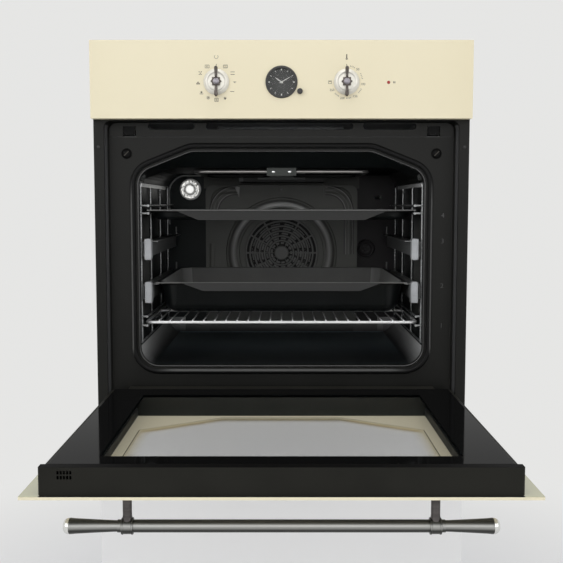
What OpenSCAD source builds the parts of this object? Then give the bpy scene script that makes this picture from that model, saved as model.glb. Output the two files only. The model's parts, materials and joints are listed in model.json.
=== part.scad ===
// Built-in electric oven with a drop-down door, knobs, a clock and telescopic runners.
// Millimetres. X is to the right, +Y goes into the oven, +Z is up. The origin is the middle of
// the base at the front edge of the cabinet. The door is drawn open, the runners are pushed in.

/* [Front] */
// Width of the control panel and of the outer glass
front_w = 595; // [585:1:600]
// Height from the base to the top of the control panel
front_h = 595; // [590:1:600]
// Height of the control panel
panel_h = 120; // [112:1:126]
// How far the panel's face stands in front of the cabinet's front edge
face_proud = 22; // [21:0.5:24]
// Sheet thickness of the control panel
panel_t = 1.2; // [0.8:0.1:2]
// Distance of the row of knobs below the top of the control panel
knob_drop = 64; // [55:1:70]
// Distance of each control knob from the middle
knob_x = 101; // [80:1:140]

/* [Knobs] */
// Radius of a knob's skirt disc
knob_r = 20; // [16:0.5:23]
// Length of a knob's lever
lever_l = 46; // [36:1:48]
// Width of a knob's lever
lever_w = 5.3; // [4:0.1:8]
// How far a knob stands out from the panel
knob_depth = 15; // [11:0.5:20]
// Radius of a knob's stem where it turns in its switch
stem_r = 3; // [2:0.1:4]

/* [Clock] */
// Outer radius of the clock's bezel
bezel_r = 25; // [22:0.5:30]
// Radius of the clock's dial
dial_r = 22; // [18:0.5:24]
// Hour that the clock shows
clock_hour = 10; // [0:1:11]
// Minute that the clock shows
clock_minute = 10; // [0:1:59]
// Radius of the knob that sets the clock
set_knob_r = 4.4; // [3:0.1:6]
// Radius of the indicator lamp
lamp_dot_r = 2.5; // [1.5:0.1:4]

/* [Casing] */
// Width of the sheet steel body behind the front
casing_w = 560; // [556:1:562]
// Depth of the body behind the cabinet's front edge
casing_d = 545; // [535:1:565]
// Distance of the casing's top cover below the top of the control panel
casing_drop = 6; // [5:0.5:12]
// Thickness of the casing's sheets
sheet_t = 1; // [0.6:0.1:1.4]
// Thickness of the base plate
base_t = 1.2; // [0.8:0.1:2]

/* [Front frame] */
// Half width of the recess at the cabinet's front edge
recess_x = 281.4; // [280:0.2:284]
// Half width of the recess at its back
recess_back_x = 276.4; // [275.8:0.2:278]
// Depth of the recess behind the cabinet's front edge
recess_y = 20; // [19:0.5:22]
// Distance of the top of the recess below the control panel
recess_drop = 1; // [0.5:0.5:3]
// Distance of the cabinet screw holes below the control panel
cabinet_screw_drop = 42.7; // [25:0.1:95]
// Distance of the cabinet screw holes from the middle
cabinet_screw_x = 290; // [287:0.5:293]
// Radius of the cabinet screw holes
cabinet_screw_r = 2.25; // [1.5:0.05:3]

/* [Door opening] */
// Half width of the seal's outer outline
seal_x = 244; // [240:0.5:247]
// Height of the seal's lower edge
seal_low_z = 65; // [60:0.5:68]
// Distance of the seal's upper edge below the control panel
seal_drop = 35.6; // [33:0.2:43]
// Half width of the flat stretch at the seal's top
seal_flat_x = 148; // [120:1:170]
// Angle of the seal's slanted upper corners
seal_slant = 21.7; // [16:0.1:26]
// Width of the seal's bead
seal_w = 8; // [6:0.5:10]
// Distance from the seal's outer outline to the mouth of the cavity
mouth_inset = 13.5; // [12:0.5:16]

/* [Cavity] */
// Inside width of the cavity
cavity_w = 466; // [464:1:472]
// Height of the cavity's floor
cavity_floor_z = 75.5; // [72:0.5:76.5]
// Distance of the cavity's ceiling below the control panel
ceiling_drop = 71.5; // [70:0.5:74]
// Depth of the cavity's back wall behind the cabinet's front edge
cavity_back_y = 425; // [420:1:432]
// Thickness of the cavity's enamelled sheet
cavity_t = 1.2; // [0.8:0.1:1.6]
// Thickness of the insulation around the cavity
insulation_t = 21; // [14:1:22]

/* [Fan and heaters] */
// Height of the convection fan's axis
fan_z = 243; // [235:1:250]
// Width of the cover over the convection fan
fan_cover_w = 308; // [290:1:316]
// How far the fan cover stands in front of the back wall
fan_cover_proud = 30; // [27:0.5:33]
// Radius of the fan cover's grille
grille_r = 68; // [56:1:74]
// Radius of the convection fan
fan_r = 62; // [50:1:70]
// Radius of the ring heater
ring_r = 84; // [80:1:90]
// Radius of a heating element's tube
tube_r = 3.25; // [2.5:0.05:4]
// Distance of the grill element below the cavity's ceiling
grill_drop = 6.5; // [5:0.5:9]
// Radius of the oven lamp's glass
lens_r = 22; // [16:0.5:24]

/* [Racks and runners] */
// Radius of the side racks' wire
wire_r = 2; // [1.5:0.1:2.2]
// Distance of the racks' upright wires from the middle
upright_x = 230.5; // [230:0.1:230.7]
// Height of the lower telescopic runner's middle
low_runner_z = 198; // [196:0.5:200]
// Height of the upper telescopic runner's middle
high_runner_z = 268.5; // [265:0.5:272]
// Length of a runner's rails
rail_l = 331; // [320:1:340]
// Height of the wire that carries the shallow tray
tray_wire_z = 327; // [322:0.5:330]
// Height of the wire that carries the wire rack
rack_wire_z = 142; // [138:0.5:146]
// Spacing of the wire rack's cross wires
rack_pitch = 18.4; // [14:0.2:24]

/* [Trays] */
// Outer width of the shallow tray
shallow_w = 442; // [438:1:448]
// Depth from front to back of both trays
tray_l = 360; // [340:1:362]
// Height of the shallow tray
shallow_h = 15; // [13:0.5:24]
// Outer width of the deep tray
deep_w = 416; // [412:0.5:420]
// Height of the deep tray
deep_h = 50; // [30:1:56]
// Sheet thickness of the trays
tray_t = 1.2; // [0.8:0.1:2]

/* [Door] */
// Height of the hinge axis above the base
hinge_z = 26.25; // [25.5:0.25:27]
// Depth of the hinge axis, behind the cabinet's front edge where positive
hinge_y = -5.25; // [-6:0.25:-5]
// Height of the closed door's lower glass edge
door_low_z = 24; // [22:0.5:26]
// Distance of the closed door's upper glass edge below the control panel
door_drop = 4; // [3:0.5:10]
// Width of the door's black body
door_body_w = 548; // [544:1:549]
// Depth of the door's inner face behind the cabinet's front edge when closed
door_inner_y = 15; // [13.5:0.5:15.2]
// Thickness of each pane of glass
glass_t = 4; // [3:0.5:5]
// Half width of the inner pane's clear window
window_x = 214.5; // [180:1:224]
// Radius of the hinge pins
hinge_pin_r = 3; // [2.5:0.1:3.5]

/* [Handle] */
// Distance between the handle's posts
post_pitch = 357.4; // [280:1:400]
// Distance of the handle's bar below the door's upper glass edge
handle_drop = 27; // [20:1:34]
// Distance of the bar's axis from the outer glass
handle_reach = 39.5; // [32:0.5:50]
// Radius of the handle's bar
handle_r = 7.4; // [6:0.1:9]
// Length of the handle with its end caps
handle_l = 507; // [440:1:540]

/* [Hidden] */

$fn = 48;
run = 0.05;
gap = 0.3;
flange_t = 1;
panel_low_z = front_h - panel_h;
knob_row_z = front_h - knob_drop;
casing_h = front_h - casing_drop;
recess_top_z = panel_low_z - recess_drop;
cabinet_screw_z = panel_low_z - cabinet_screw_drop;
seal_top_z = panel_low_z - seal_drop;
cavity_top_z = panel_low_z - ceiling_drop;
grill_z = cavity_top_z - grill_drop;
door_top_z = panel_low_z - door_drop;
handle_z = door_top_z - handle_drop;
panel_y = -face_proud;
inner_back_y = recess_y + flange_t;
cavity_x = cavity_w / 2;
glass_y = panel_y + glass_t;
panel_mid_x = front_w / 2;

// Outlines: each corner is [x, z, fillet radius]
function unit(v) = v / norm(v);
function corner_arc(before, at, after, r, n) =
    let (a = unit(before - at), b = unit(after - at), half = acos(a * b) / 2)
    let (c = at + unit(a + b) * r / sin(half), reach = r / tan(half))
    let (s = at + a * reach - c, e = at + b * reach - c)
    let (from = atan2(s[1], s[0]), turn = (atan2(e[1], e[0]) - from + 540) % 360 - 180)
    [for (i = [0:n]) c + r * [cos(from + turn * i / n), sin(from + turn * i / n)]];
function flat(p) = [p[0], p[1]];
function rounded(p, n = 6) =
    [for (i = [0:len(p) - 1])
        each p[i][2] <= 0 ? [flat(p[i])] : corner_arc(flat(p[(i + len(p) - 1) % len(p)]),
            flat(p[i]), flat(p[(i + 1) % len(p)]), p[i][2], n)];
function rounded_box(x0, z0, x1, z1, r, n = 6) =
    rounded([[x1, z0, r], [x1, z1, r], [x0, z1, r], [x0, z0, r]], n);

// The seal's outline, moved in by d, with its slanted upper corners
slant_drop = tan(seal_slant);
function seal_outline(d) =
    let (lean = (d - d / cos(seal_slant)) / slant_drop)
    let (flat_x = seal_flat_x + lean, side_x = seal_x - d)
    let (top = seal_top_z - d, shoulder = top - (side_x - flat_x) * slant_drop)
    let (r_low = 44 - d, r_side = 42 - d, r_top = 50 - d)
    rounded([[side_x, seal_low_z + d, r_low], [side_x, shoulder, r_side], [flat_x, top, r_top],
        [-flat_x, top, r_top], [-side_x, shoulder, r_side], [-side_x, seal_low_z + d, r_low]]);

// Basic shapes
module block(low, high) {
    translate(low) cube(high - low);
}
module upright(points, y0, y1) {
    translate([0, y1, 0]) rotate([90, 0, 0]) linear_extrude(y1 - y0) polygon(points);
}
module rod_x(x0, x1, y, z, r) {
    translate([x0, y, z]) rotate([0, 90, 0]) cylinder(r = r, h = x1 - x0);
}
module rod_y(y0, y1, x, z, r) {
    translate([x, y1, z]) rotate([90, 0, 0]) cylinder(r = r, h = y1 - y0);
}
module rod_z(z0, z1, x, y, r) {
    translate([x, y, z0]) cylinder(r = r, h = z1 - z0);
}
module cone_y(y0, y1, x, z, r0, r1) {
    translate([x, y1, z]) rotate([90, 0, 0]) cylinder(r1 = r1, r2 = r0, h = y1 - y0);
}
module both_sides() {
    children();
    mirror([1, 0, 0]) children();
}
// A bent tube through points at one height, square at its corners
module level_tube(points, z, r) {
    for (i = [0:len(points) - 2]) {
        a = points[i];
        b = points[i + 1];
        way = unit(b - a);
        first = i == 0 ? 0 : r;
        last = i == len(points) - 2 ? 0 : r;
        translate([a[0] - way[0] * first, a[1] - way[1] * first, z])
            rotate([0, 90, atan2(way[1], way[0])])
                cylinder(r = r, h = norm(b - a) + first + last);
    }
}

// Control panel and what it carries
panel_edge_y = -flange_t;
set_knob_at = [28.6, knob_row_z - 14.5];
lamp_at = [166.3, knob_row_z - 0.6];
stem_hole_r = stem_r + 2;
bracket_y = panel_y + 13;
case_wall = 1.3;
case_r = dial_r + case_wall;
module control_panel() {
    color("#ece2c4") difference() {
        block([-panel_mid_x, panel_y, panel_low_z], [panel_mid_x, panel_edge_y, front_h]);
        block([-panel_mid_x + panel_t, panel_y + panel_t, panel_low_z + panel_t],
            [panel_mid_x - panel_t, 1, front_h - panel_t]);
        for (x = [-knob_x, knob_x])
            rod_y(panel_y - 1, panel_y + panel_t + 1, x, knob_row_z, stem_hole_r);
        rod_y(panel_y - 1, panel_y + panel_t + 1, 0, knob_row_z, case_r + gap);
        rod_y(panel_y - 1, panel_y + panel_t + 1, set_knob_at[0], set_knob_at[1], 2);
        rod_y(panel_y - 1, panel_y + panel_t + 1, lamp_at[0], lamp_at[1], lamp_dot_r);
    }
}

// Sheet bracket behind the panel, with folded ends that stand on the front frame
bracket_x = 250;
bracket_low_z = panel_low_z + 12;
bracket_top_z = front_h - 12;
bushing_r = stem_r + 2.5;
module control_bracket() {
    color("#9aa0a3") difference() {
        union() {
            block([-bracket_x, bracket_y, bracket_low_z],
                [bracket_x, bracket_y + sheet_t, bracket_top_z]);
            both_sides() block([bracket_x - sheet_t, bracket_y, bracket_low_z],
                [bracket_x, panel_edge_y, bracket_top_z]);
        }
        for (x = [-knob_x, knob_x])
            rod_y(bracket_y - 1, bracket_y + 2, x, knob_row_z, bushing_r + 0.1);
        rod_y(bracket_y - 1, bracket_y + 2, 0, knob_row_z, case_r + gap);
        rod_y(bracket_y - 1, bracket_y + 2, set_knob_at[0], set_knob_at[1], stem_r + 1.5);
    }
}

// Rotary switch bodies behind the bracket, each with a bush in the bracket's hole
switch_y = bracket_y + sheet_t;
switch_d = 34;
stem_tip_y = bracket_y + 12;
module switch_body(x, half_w, half_h) {
    difference() {
        union() {
            block([x - half_w, switch_y, knob_row_z - half_h],
                [x + half_w, switch_y + switch_d, knob_row_z + half_h]);
            rod_y(bracket_y - 3, switch_y, x, knob_row_z, bushing_r);
        }
        rod_y(bracket_y - 4, stem_tip_y + 1, x, knob_row_z, stem_r + run);
    }
}
module selector_switch() {
    color("#e4dfd2") switch_body(-knob_x, 22, 22);
}
probe_x = 195;
probe_z = cavity_top_z - 48.5;
module thermostat() {
    color("#c9c4b6") {
        switch_body(knob_x, 20, 24);
        rod_y(cavity_back_y - 90, cavity_back_y, probe_x, probe_z, 3);
    }
}

// Clock: case, dial block with its movement, glass and hands
bezel_y = panel_y - 3;
dial_y = panel_y + 2;
case_back_y = panel_y + 17;
glass_back_y = bezel_y + 1.8;
module clock_case() {
    color("#26241f") difference() {
        union() {
            cone_y(bezel_y, panel_y, 0, knob_row_z, bezel_r - 1.2, bezel_r);
            rod_y(panel_y, case_back_y, 0, knob_row_z, case_r);
        }
        rod_y(bezel_y - 1, bezel_y + 1, 0, knob_row_z, dial_r - 0.6);
        rod_y(bezel_y + 1, case_back_y - 1, 0, knob_row_z, dial_r);
    }
}
hour_tube_r = 1.6;
arbor_r = 1;
marker_r = dial_r - 2.8;
module clock_dial() {
    color("#33322f") difference() {
        union() {
            rod_y(dial_y, dial_y + 1.2, 0, knob_row_z, dial_r);
            rod_y(dial_y + 1.2, case_back_y - 1, 0, knob_row_z, dial_r - 6);
            for (hour = [0:11]) translate([0, 0, knob_row_z]) rotate([0, hour * 30, 0])
                block([hour % 3 == 0 ? -0.9 : -0.45, dial_y - 0.25, marker_r - 1.3],
                    [hour % 3 == 0 ? 0.9 : 0.45, dial_y, marker_r + 1.3]);
        }
        rod_y(dial_y - 1, dial_y + 5, 0, knob_row_z, hour_tube_r + run);
        rod_y(dial_y - 1, dial_y + 9, 0, knob_row_z, arbor_r + run);
    }
}
module clock_glass() {
    color("#ffffff", 0.3) rod_y(bezel_y + 1, glass_back_y, 0, knob_row_z, dial_r);
}
module hand(length, width, y0, y1) {
    upright([[-width / 2, -4], [width / 2, -4], [width / 2, length - 2], [0, length],
        [-width / 2, length - 2]], y0, y1);
}
module hour_hand() {
    color("#d8d8d4") translate([0, 0, knob_row_z])
        rotate([0, 30 * clock_hour + clock_minute / 2, 0]) difference() {
            union() {
                hand(dial_r * 0.55, 2.2, dial_y - 1, dial_y - 0.5);
                rod_y(dial_y - 1, dial_y + 4.5, 0, 0, hour_tube_r);
            }
            rod_y(dial_y - 2, dial_y + 5, 0, 0, arbor_r + run);
        }
}
module minute_hand() {
    color("#d8d8d4") translate([0, 0, knob_row_z]) rotate([0, 6 * clock_minute, 0]) {
        hand(dial_r * 0.77, 1.6, dial_y - 1.8, dial_y - 1.3);
        rod_y(dial_y - 1.8, dial_y + 8, 0, 0, arbor_r);
    }
}
module clock_set_knob() {
    color("#1d1c1a") {
        cone_y(panel_y - 6.5, panel_y - gap, set_knob_at[0], set_knob_at[1], set_knob_r - 0.6,
            set_knob_r);
        rod_y(panel_y - 1, panel_y + 10, set_knob_at[0], set_knob_at[1], 1.7);
    }
}
module indicator_lamp() {
    color("#c8402c") {
        cone_y(panel_y - 1, panel_y, lamp_at[0], lamp_at[1], lamp_dot_r - 0.8, lamp_dot_r);
        rod_y(panel_y, panel_y + 9, lamp_at[0], lamp_at[1], lamp_dot_r);
        rod_y(panel_y + panel_t, panel_y + 4, lamp_at[0], lamp_at[1], lamp_dot_r + 1.2);
    }
}

// A control knob: skirt disc, hub and lever, with its stem in the switch
knob_back_y = panel_y - 0.6;
skirt_d = 5.5;
knob_face_y = knob_back_y - skirt_d;
knob_tip_y = panel_y - knob_depth;
hub_r = 8.5;
module knob(x) {
    translate([x, 0, knob_row_z]) {
        color("#d9d4c3") difference() {
            cone_y(knob_face_y, knob_back_y, 0, 0, knob_r - 3.2, knob_r);
            cone_y(knob_face_y - 1, knob_face_y + 1.5, 0, 0, knob_r - 5, knob_r - 6.5);
        }
        color("#57534f") {
            cone_y(knob_tip_y + 3, knob_face_y + 2, 0, 0, hub_r - 1, hub_r);
            rod_y(knob_tip_y, knob_tip_y + 3, 0, 0, hub_r * 0.53);
            upright(rounded([[lever_w / 2, -lever_l / 2, 2], [lever_w / 3, 0, 0],
                [lever_w / 2, lever_l / 2, 2], [-lever_w / 2, lever_l / 2, 2],
                [-lever_w / 3, 0, 0], [-lever_w / 2, -lever_l / 2, 2]], 4),
                knob_tip_y + 1, knob_face_y + 0.5);
            rod_y(knob_face_y, stem_tip_y, 0, 0, stem_r);
        }
    }
}
module function_knob() {
    knob(-knob_x);
}
module thermostat_knob() {
    knob(knob_x);
}

// Front frame: flange, recess for the door, face plate and the lip round the cavity's mouth
opening_x = 240;
recess_r = 12;
frame_low_z = base_t;
mouth_lip = 8;
slot_arm_x = 258;
arm_t = 4;
arm_low_z = hinge_z - 5;
arm_top_z = hinge_z + 5;
module recess_form(grow) {
    hull() {
        upright(rounded([[recess_x + grow, 0, 0], [recess_x + grow, recess_top_z + grow, recess_r],
            [-recess_x - grow, recess_top_z + grow, recess_r], [-recess_x - grow, 0, 0]]),
            -flange_t - 0.01, -flange_t);
        upright(rounded([[recess_back_x + grow, 0, 0],
            [recess_back_x + grow, recess_top_z - 2 + grow, recess_r],
            [-recess_back_x - grow, recess_top_z - 2 + grow, recess_r],
            [-recess_back_x - grow, 0, 0]]), recess_y, recess_y + 0.01);
    }
}
vent_low_z = recess_top_z - 13;
vent_top_z = recess_top_z - 2.5;
vent_spans = [[-214, -139], [-121, 115], [131, 216]];
latch_x = 243.5;
latch_z = recess_top_z - 16;
module vent_slots(y0, y1) {
    for (s = vent_spans)
        upright(rounded_box(s[0], vent_low_z, s[1], vent_top_z, 5), y0, y1);
    both_sides() block([latch_x - 10.5, y0, latch_z - 8], [latch_x + 10.5, y1, latch_z + 8]);
}
module front_frame() {
    color("#2d2d2b") difference() {
        union() {
            block([-panel_mid_x, -flange_t, frame_low_z], [panel_mid_x, 0, front_h - 1]);
            intersection() {
                recess_form(flange_t);
                block([-panel_mid_x, -flange_t, frame_low_z],
                    [panel_mid_x, inner_back_y, front_h]);
            }
            block([-recess_back_x, recess_y, frame_low_z],
                [recess_back_x, inner_back_y, recess_top_z - 4]);
            upright(seal_outline(mouth_inset - 1), recess_y, recess_y + mouth_lip);
        }
        difference() {
            recess_form(0);
            block([-front_w, recess_y, -1], [front_w, recess_y + 1, front_h]);
        }
        upright(seal_outline(mouth_inset), -2, recess_y + mouth_lip + 1);
        block([-opening_x, -2, panel_low_z + 6], [opening_x, 1, front_h - 12]);
        both_sides() rod_y(-2, 1, cabinet_screw_x, cabinet_screw_z, cabinet_screw_r);
        vent_slots(recess_y - 1, inner_back_y + 1);
        both_sides() block([slot_arm_x - arm_t / 2 - 0.1, recess_y - 1, arm_low_z - 0.1],
            [slot_arm_x + arm_t / 2 + 0.1, inner_back_y + 1, arm_top_z + 0.1]);
    }
}
strip_low_z = recess_top_z - 24;
strip_t = 3;
module air_outlet_strip() {
    color("#343432") difference() {
        upright(rounded([[recess_back_x - 2, strip_low_z, 0],
            [recess_back_x - 2, recess_top_z - 3, recess_r],
            [-recess_back_x + 2, recess_top_z - 3, recess_r], [-recess_back_x + 2, strip_low_z, 0]]),
            recess_y - strip_t, recess_y);
        vent_slots(recess_y - strip_t - 1, recess_y + 1);
    }
}
bumper_r = 8.4;
bumper_x = seal_x + 5;
bumper_z = seal_top_z - 16.4;
module door_bumpers() {
    color("#151515") both_sides() {
        rod_y(recess_y - 1.5, recess_y, bumper_x, bumper_z, bumper_r);
        cone_y(door_inner_y + 0.5, recess_y - 1.5, bumper_x, bumper_z, bumper_r - 2.5,
            bumper_r - 1);
    }
}
module door_gasket() {
    color("#1c1c1c") difference() {
        union() {
            upright(seal_outline(0.8), recess_y - 2.5, recess_y);
            upright(seal_outline(2), door_inner_y + 0.4, recess_y - 2.5);
        }
        upright(seal_outline(seal_w), door_inner_y - 1, recess_y + 1);
    }
}

// Cavity: rounded enamel box with a throat that slopes down from its mouth to its ceiling
cavity_r = 30;
cavity_out_y = cavity_back_y + cavity_t;
lamp_x = -187;
lamp_z = cavity_top_z - 31.5;
lamp_hole_r = 14;
fan_shaft_r = 4;
heater_leg_x = 40;
grill_leg_x = 25;
bottom_leg_x = 60;
function cavity_outline(grow) =
    rounded_box(-cavity_x - grow, cavity_floor_z - grow, cavity_x + grow, cavity_top_z + grow,
        cavity_r + grow, 8);
throat_y = 85;
throat_flat_x = 182;
throat_back_y = recess_y + mouth_lip + 1;
function throat_outline(grow) =
    let (x = cavity_x + grow, top = cavity_top_z + grow, low = cavity_floor_z - grow)
    let (shoulder = top - (x - throat_flat_x) * slant_drop)
    rounded([[x, low, cavity_r + grow], [x, shoulder, 6], [throat_flat_x, top, 40],
        [-throat_flat_x, top, 40], [-x, shoulder, 6], [-x, low, cavity_r + grow]]);
module cavity_form(grow, y0, y1) {
    hull() {
        upright(seal_outline(mouth_inset - 2.5 - grow), y0, throat_back_y);
        upright(throat_outline(grow), throat_y, throat_y + 0.02);
    }
    upright(cavity_outline(grow), throat_y - grow, y1);
}
module cavity() {
    color("#232322") difference() {
        cavity_form(cavity_t, inner_back_y, cavity_out_y);
        cavity_form(0, inner_back_y - 1, cavity_back_y);
        rod_y(cavity_back_y - 1, cavity_out_y + 1, 0, fan_z, fan_shaft_r + 2);
        rod_y(cavity_back_y - 1, cavity_out_y + 1, lamp_x, lamp_z, lamp_hole_r + run);
        rod_y(cavity_back_y - 1, cavity_out_y + 1, probe_x, probe_z, 3 + run);
        both_sides() {
            rod_y(cavity_back_y - 1, cavity_out_y + 1, heater_leg_x, fan_z - ring_r + 14,
                tube_r + run);
            rod_y(cavity_back_y - 1, cavity_out_y + 1, grill_leg_x, grill_z, tube_r + run);
        }
    }
}

// Insulation blanket with room for what passes through it
motor_r = 38;
insulation_back_y = cavity_out_y + insulation_t;
insulation_low_z = cavity_floor_z - cavity_t - insulation_t;
insulation_top_z = seal_top_z + 10.8;
element_room = 11;
module insulation() {
    color("#d9cf9a") difference() {
        block([-cavity_x - cavity_t - insulation_t, inner_back_y + 0.5, insulation_low_z],
            [cavity_x + cavity_t + insulation_t, insulation_back_y, insulation_top_z]);
        cavity_form(cavity_t + gap, inner_back_y - 1, cavity_out_y + gap);
        block([-200, 60, cavity_floor_z - cavity_t - element_room],
            [200, cavity_out_y + insulation_t + 1, cavity_floor_z + 20]);
        rod_y(cavity_back_y, insulation_back_y + 1, 0, fan_z, ring_r + 6);
        rod_y(cavity_back_y, insulation_back_y + 1, lamp_x, lamp_z, lens_r + 2);
        rod_y(cavity_back_y, insulation_back_y + 1, probe_x, probe_z, 5);
        both_sides()
            rod_y(cavity_back_y, insulation_back_y + 1, grill_leg_x, grill_z, tube_r + 2);
    }
}

// Outer casing of thin sheets behind the front frame
casing_x = casing_w / 2;
casing_front_y = 6;
module side_sheet(x0, x1) {
    block([x0, casing_front_y, 0], [x1, casing_d - sheet_t, casing_h - sheet_t]);
}
side_vent_h = 60;
side_vent_low_z = casing_h - 89;
vent_pitch = 22;
vent_w = 6;
module side_vents(x) {
    for (i = [0:5]) block([x - 2 * sheet_t, 60 + vent_pitch * i, side_vent_low_z],
        [x + 2 * sheet_t, 60 + vent_w + vent_pitch * i, side_vent_low_z + side_vent_h]);
}
module side_panel_left() {
    color("#a9adb0") difference() {
        side_sheet(-casing_x - 2, -casing_x - 2 + sheet_t);
        side_vents(-casing_x - 2);
    }
}
module side_panel_right() {
    color("#a9adb0") difference() {
        side_sheet(casing_x + 2 - sheet_t, casing_x + 2);
        side_vents(casing_x + 2);
    }
}
module top_cover() {
    color("#b0b4b6") difference() {
        block([-casing_x - 2, 0, casing_h - sheet_t], [casing_x + 2, casing_d, casing_h]);
        for (i = [0:13]) block([-150 + vent_pitch * i, 330, casing_h - 2 * sheet_t],
            [-142 + vent_pitch * i, 400, casing_h + sheet_t]);
    }
}
cord_hole_x = 190;
cord_hole_z = casing_h - 33;
cord_hole_r = 8;
back_vent_z = casing_h - 103;
module back_cover() {
    color("#a4a8ab") difference() {
        block([-casing_x - 2, casing_d - sheet_t, 0], [casing_x + 2, casing_d,
            casing_h - sheet_t]);
        rod_y(casing_d - 2 * sheet_t, casing_d + sheet_t, cord_hole_x, cord_hole_z, cord_hole_r);
        for (row = [0:3]) for (i = [0:9])
            upright(rounded_box(-108 + vent_pitch * i, back_vent_z + 14 * row,
                -94 + vent_pitch * i, back_vent_z + vent_w + 14 * row, 2.5, 3),
                casing_d - 2 * sheet_t, casing_d + sheet_t);
    }
}
base_front_x = recess_back_x - 3;
module base_plate() {
    color("#a0a4a7") {
        block([-base_front_x, -flange_t, 0], [base_front_x, inner_back_y + 1, base_t]);
        block([-casing_x - 2 + sheet_t, inner_back_y + 1, 0],
            [casing_x + 2 - sheet_t, casing_d - sheet_t, base_t]);
        for (y = [60, 400]) block([-200, y, base_t], [200, y + 30, insulation_low_z]);
    }
}
module terminal_block() {
    color("#2b2b2b") difference() {
        block([cord_hole_x - 28, casing_d - sheet_t - 26, cord_hole_z - 18],
            [cord_hole_x + 28, casing_d - sheet_t, cord_hole_z + 18]);
        rod_y(casing_d - 24, casing_d, cord_hole_x, cord_hole_z, cord_hole_r + 1);
    }
}

// Fan cover with its ring-shaped slots
cover_x = fan_cover_w / 2;
cover_low_z = 96;
cover_top_z = cavity_top_z - 23.5;
cover_y = cavity_back_y - fan_cover_proud;
cover_t = 1.2;
slot_rings = 6;
slot_w = 3.6;
slot_step = (grille_r - 20) / slot_rings;
slot_sectors = 10;
sector_gap = 5;
function ring_sector(r0, r1, a0, a1, n = 4) = concat(
    [for (i = [0:n]) let (a = a0 + (a1 - a0) * i / n) r0 * [cos(a), sin(a)]],
    [for (i = [n:-1:0]) let (a = a0 + (a1 - a0) * i / n) r1 * [cos(a), sin(a)]]);
module cover_slots() {
    for (ring = [0:slot_rings - 1]) for (s = [0:slot_sectors - 1]) {
        r0 = 20 + slot_step * ring;
        half = 180 / slot_sectors - sector_gap * 36 / (r0 + 30);
        upright(ring_sector(r0, r0 + slot_w, s * 36 + 18 - half, s * 36 + 18 + half),
            cover_y - 5, cover_y + cover_t + 1);
    }
}
module fan_cover() {
    color("#333331") difference() {
        union() {
            difference() {
                upright(rounded_box(-cover_x, cover_low_z, cover_x, cover_top_z, 14), cover_y,
                    cavity_back_y);
                upright(rounded_box(-cover_x + cover_t, cover_low_z + cover_t,
                    cover_x - cover_t, cover_top_z - cover_t, 14 - cover_t),
                    cover_y + cover_t, cavity_back_y + 1);
            }
            for (r = [grille_r + 22, grille_r + 40]) difference() {
                cone_y(cover_y - 2, cover_y, 0, fan_z, r + 3, r + 5);
                cone_y(cover_y - 3, cover_y, 0, fan_z, r - 3, r - 5);
            }
            rod_y(cover_y - 2.5, cover_y, 0, cover_top_z - 8, 4);
        }
        translate([0, 0, fan_z]) cover_slots();
    }
}

// Convection fan with its shaft, the motor behind the cavity and the ring heater
fan_plate_y = cavity_back_y - 8;
blade_d = 15;
motor_y = cavity_out_y;
motor_back_y = motor_y + 62;
shaft_end_y = motor_y + 30;
module convection_fan() {
    color("#8f9396") translate([0, 0, fan_z]) {
        difference() {
            rod_y(fan_plate_y, fan_plate_y + 1, 0, 0, fan_r);
            for (s = [0:9]) rotate([0, 36 * s, 0]) rod_y(fan_plate_y - 1, fan_plate_y + 2, 24, 0, 4);
        }
        for (s = [0:9]) rotate([0, 36 * s, 0])
            block([34, fan_plate_y - blade_d, -0.6], [fan_r - 1, fan_plate_y + 0.5, 0.6]);
        rod_y(fan_plate_y - 9, fan_plate_y + 3, 0, 0, 9);
        rod_y(fan_plate_y, shaft_end_y, 0, 0, fan_shaft_r);
    }
}
module fan_motor() {
    color("#7d8184") difference() {
        union() {
            rod_y(motor_y, motor_y + 2, 0, fan_z, motor_r + 30);
            rod_y(motor_y + 2, motor_y + 14, 0, fan_z, 14);
            rod_y(motor_y + 14, motor_back_y, 0, fan_z, motor_r);
        }
        rod_y(motor_y - 1, shaft_end_y + 2, 0, fan_z, fan_shaft_r + run);
        rod_y(motor_y - 1, motor_y + 3, 0, fan_z, fan_shaft_r + 4);
    }
}
ring_y = cover_y + 14;
module ring_heater() {
    color("#6b6562") {
        for (y = [ring_y - 5, ring_y + 5])
            translate([0, y, fan_z]) rotate([90, 0, 0])
                rotate_extrude($fn = 64) translate([ring_r, 0]) circle(r = tube_r, $fn = 20);
        both_sides() {
            x = heater_leg_x;
            z = fan_z - ring_r + 14;
            rod_y(ring_y - 5, cavity_out_y + 24, x, z, tube_r);
            level = sqrt(ring_r * ring_r - x * x);
            rod_z(fan_z - level, z, x, ring_y, tube_r * 0.9);
        }
    }
}

// Grill element under the ceiling, its holder, and the element under the floor
grill_x = 147;
grill_front_y = 100;
grill_rear_y = cavity_back_y - 91;
module grill_element() {
    color("#5e5a58") {
        level_tube([[-grill_leg_x, cavity_out_y + 26], [-grill_leg_x, grill_rear_y],
            [-grill_x, grill_rear_y], [-grill_x, grill_front_y], [grill_x, grill_front_y],
            [grill_x, grill_rear_y], [grill_leg_x, grill_rear_y],
            [grill_leg_x, cavity_out_y + 26]], grill_z, tube_r);
    }
}
holder_x = 25;
module grill_holder() {
    color("#8d8f90") difference() {
        block([-holder_x, grill_front_y - 8, grill_z - tube_r - 4], [holder_x,
            grill_front_y + 8, cavity_top_z]);
        block([-holder_x - 1, grill_front_y - tube_r - 0.2, grill_z - tube_r - 0.2],
            [holder_x + 1, grill_front_y + tube_r + 0.2, cavity_top_z - 2]);
        both_sides() rod_z(grill_z - tube_r - 5, grill_z - tube_r - 2.5, 13.6, grill_front_y,
            2.6);
    }
}
bottom_z = cavity_floor_z - cavity_t - tube_r - 0.2;
bottom_x = 170;
bottom_front_y = 90;
bottom_mid_y = 300;
bottom_rear_y = cavity_back_y - 75;
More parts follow.
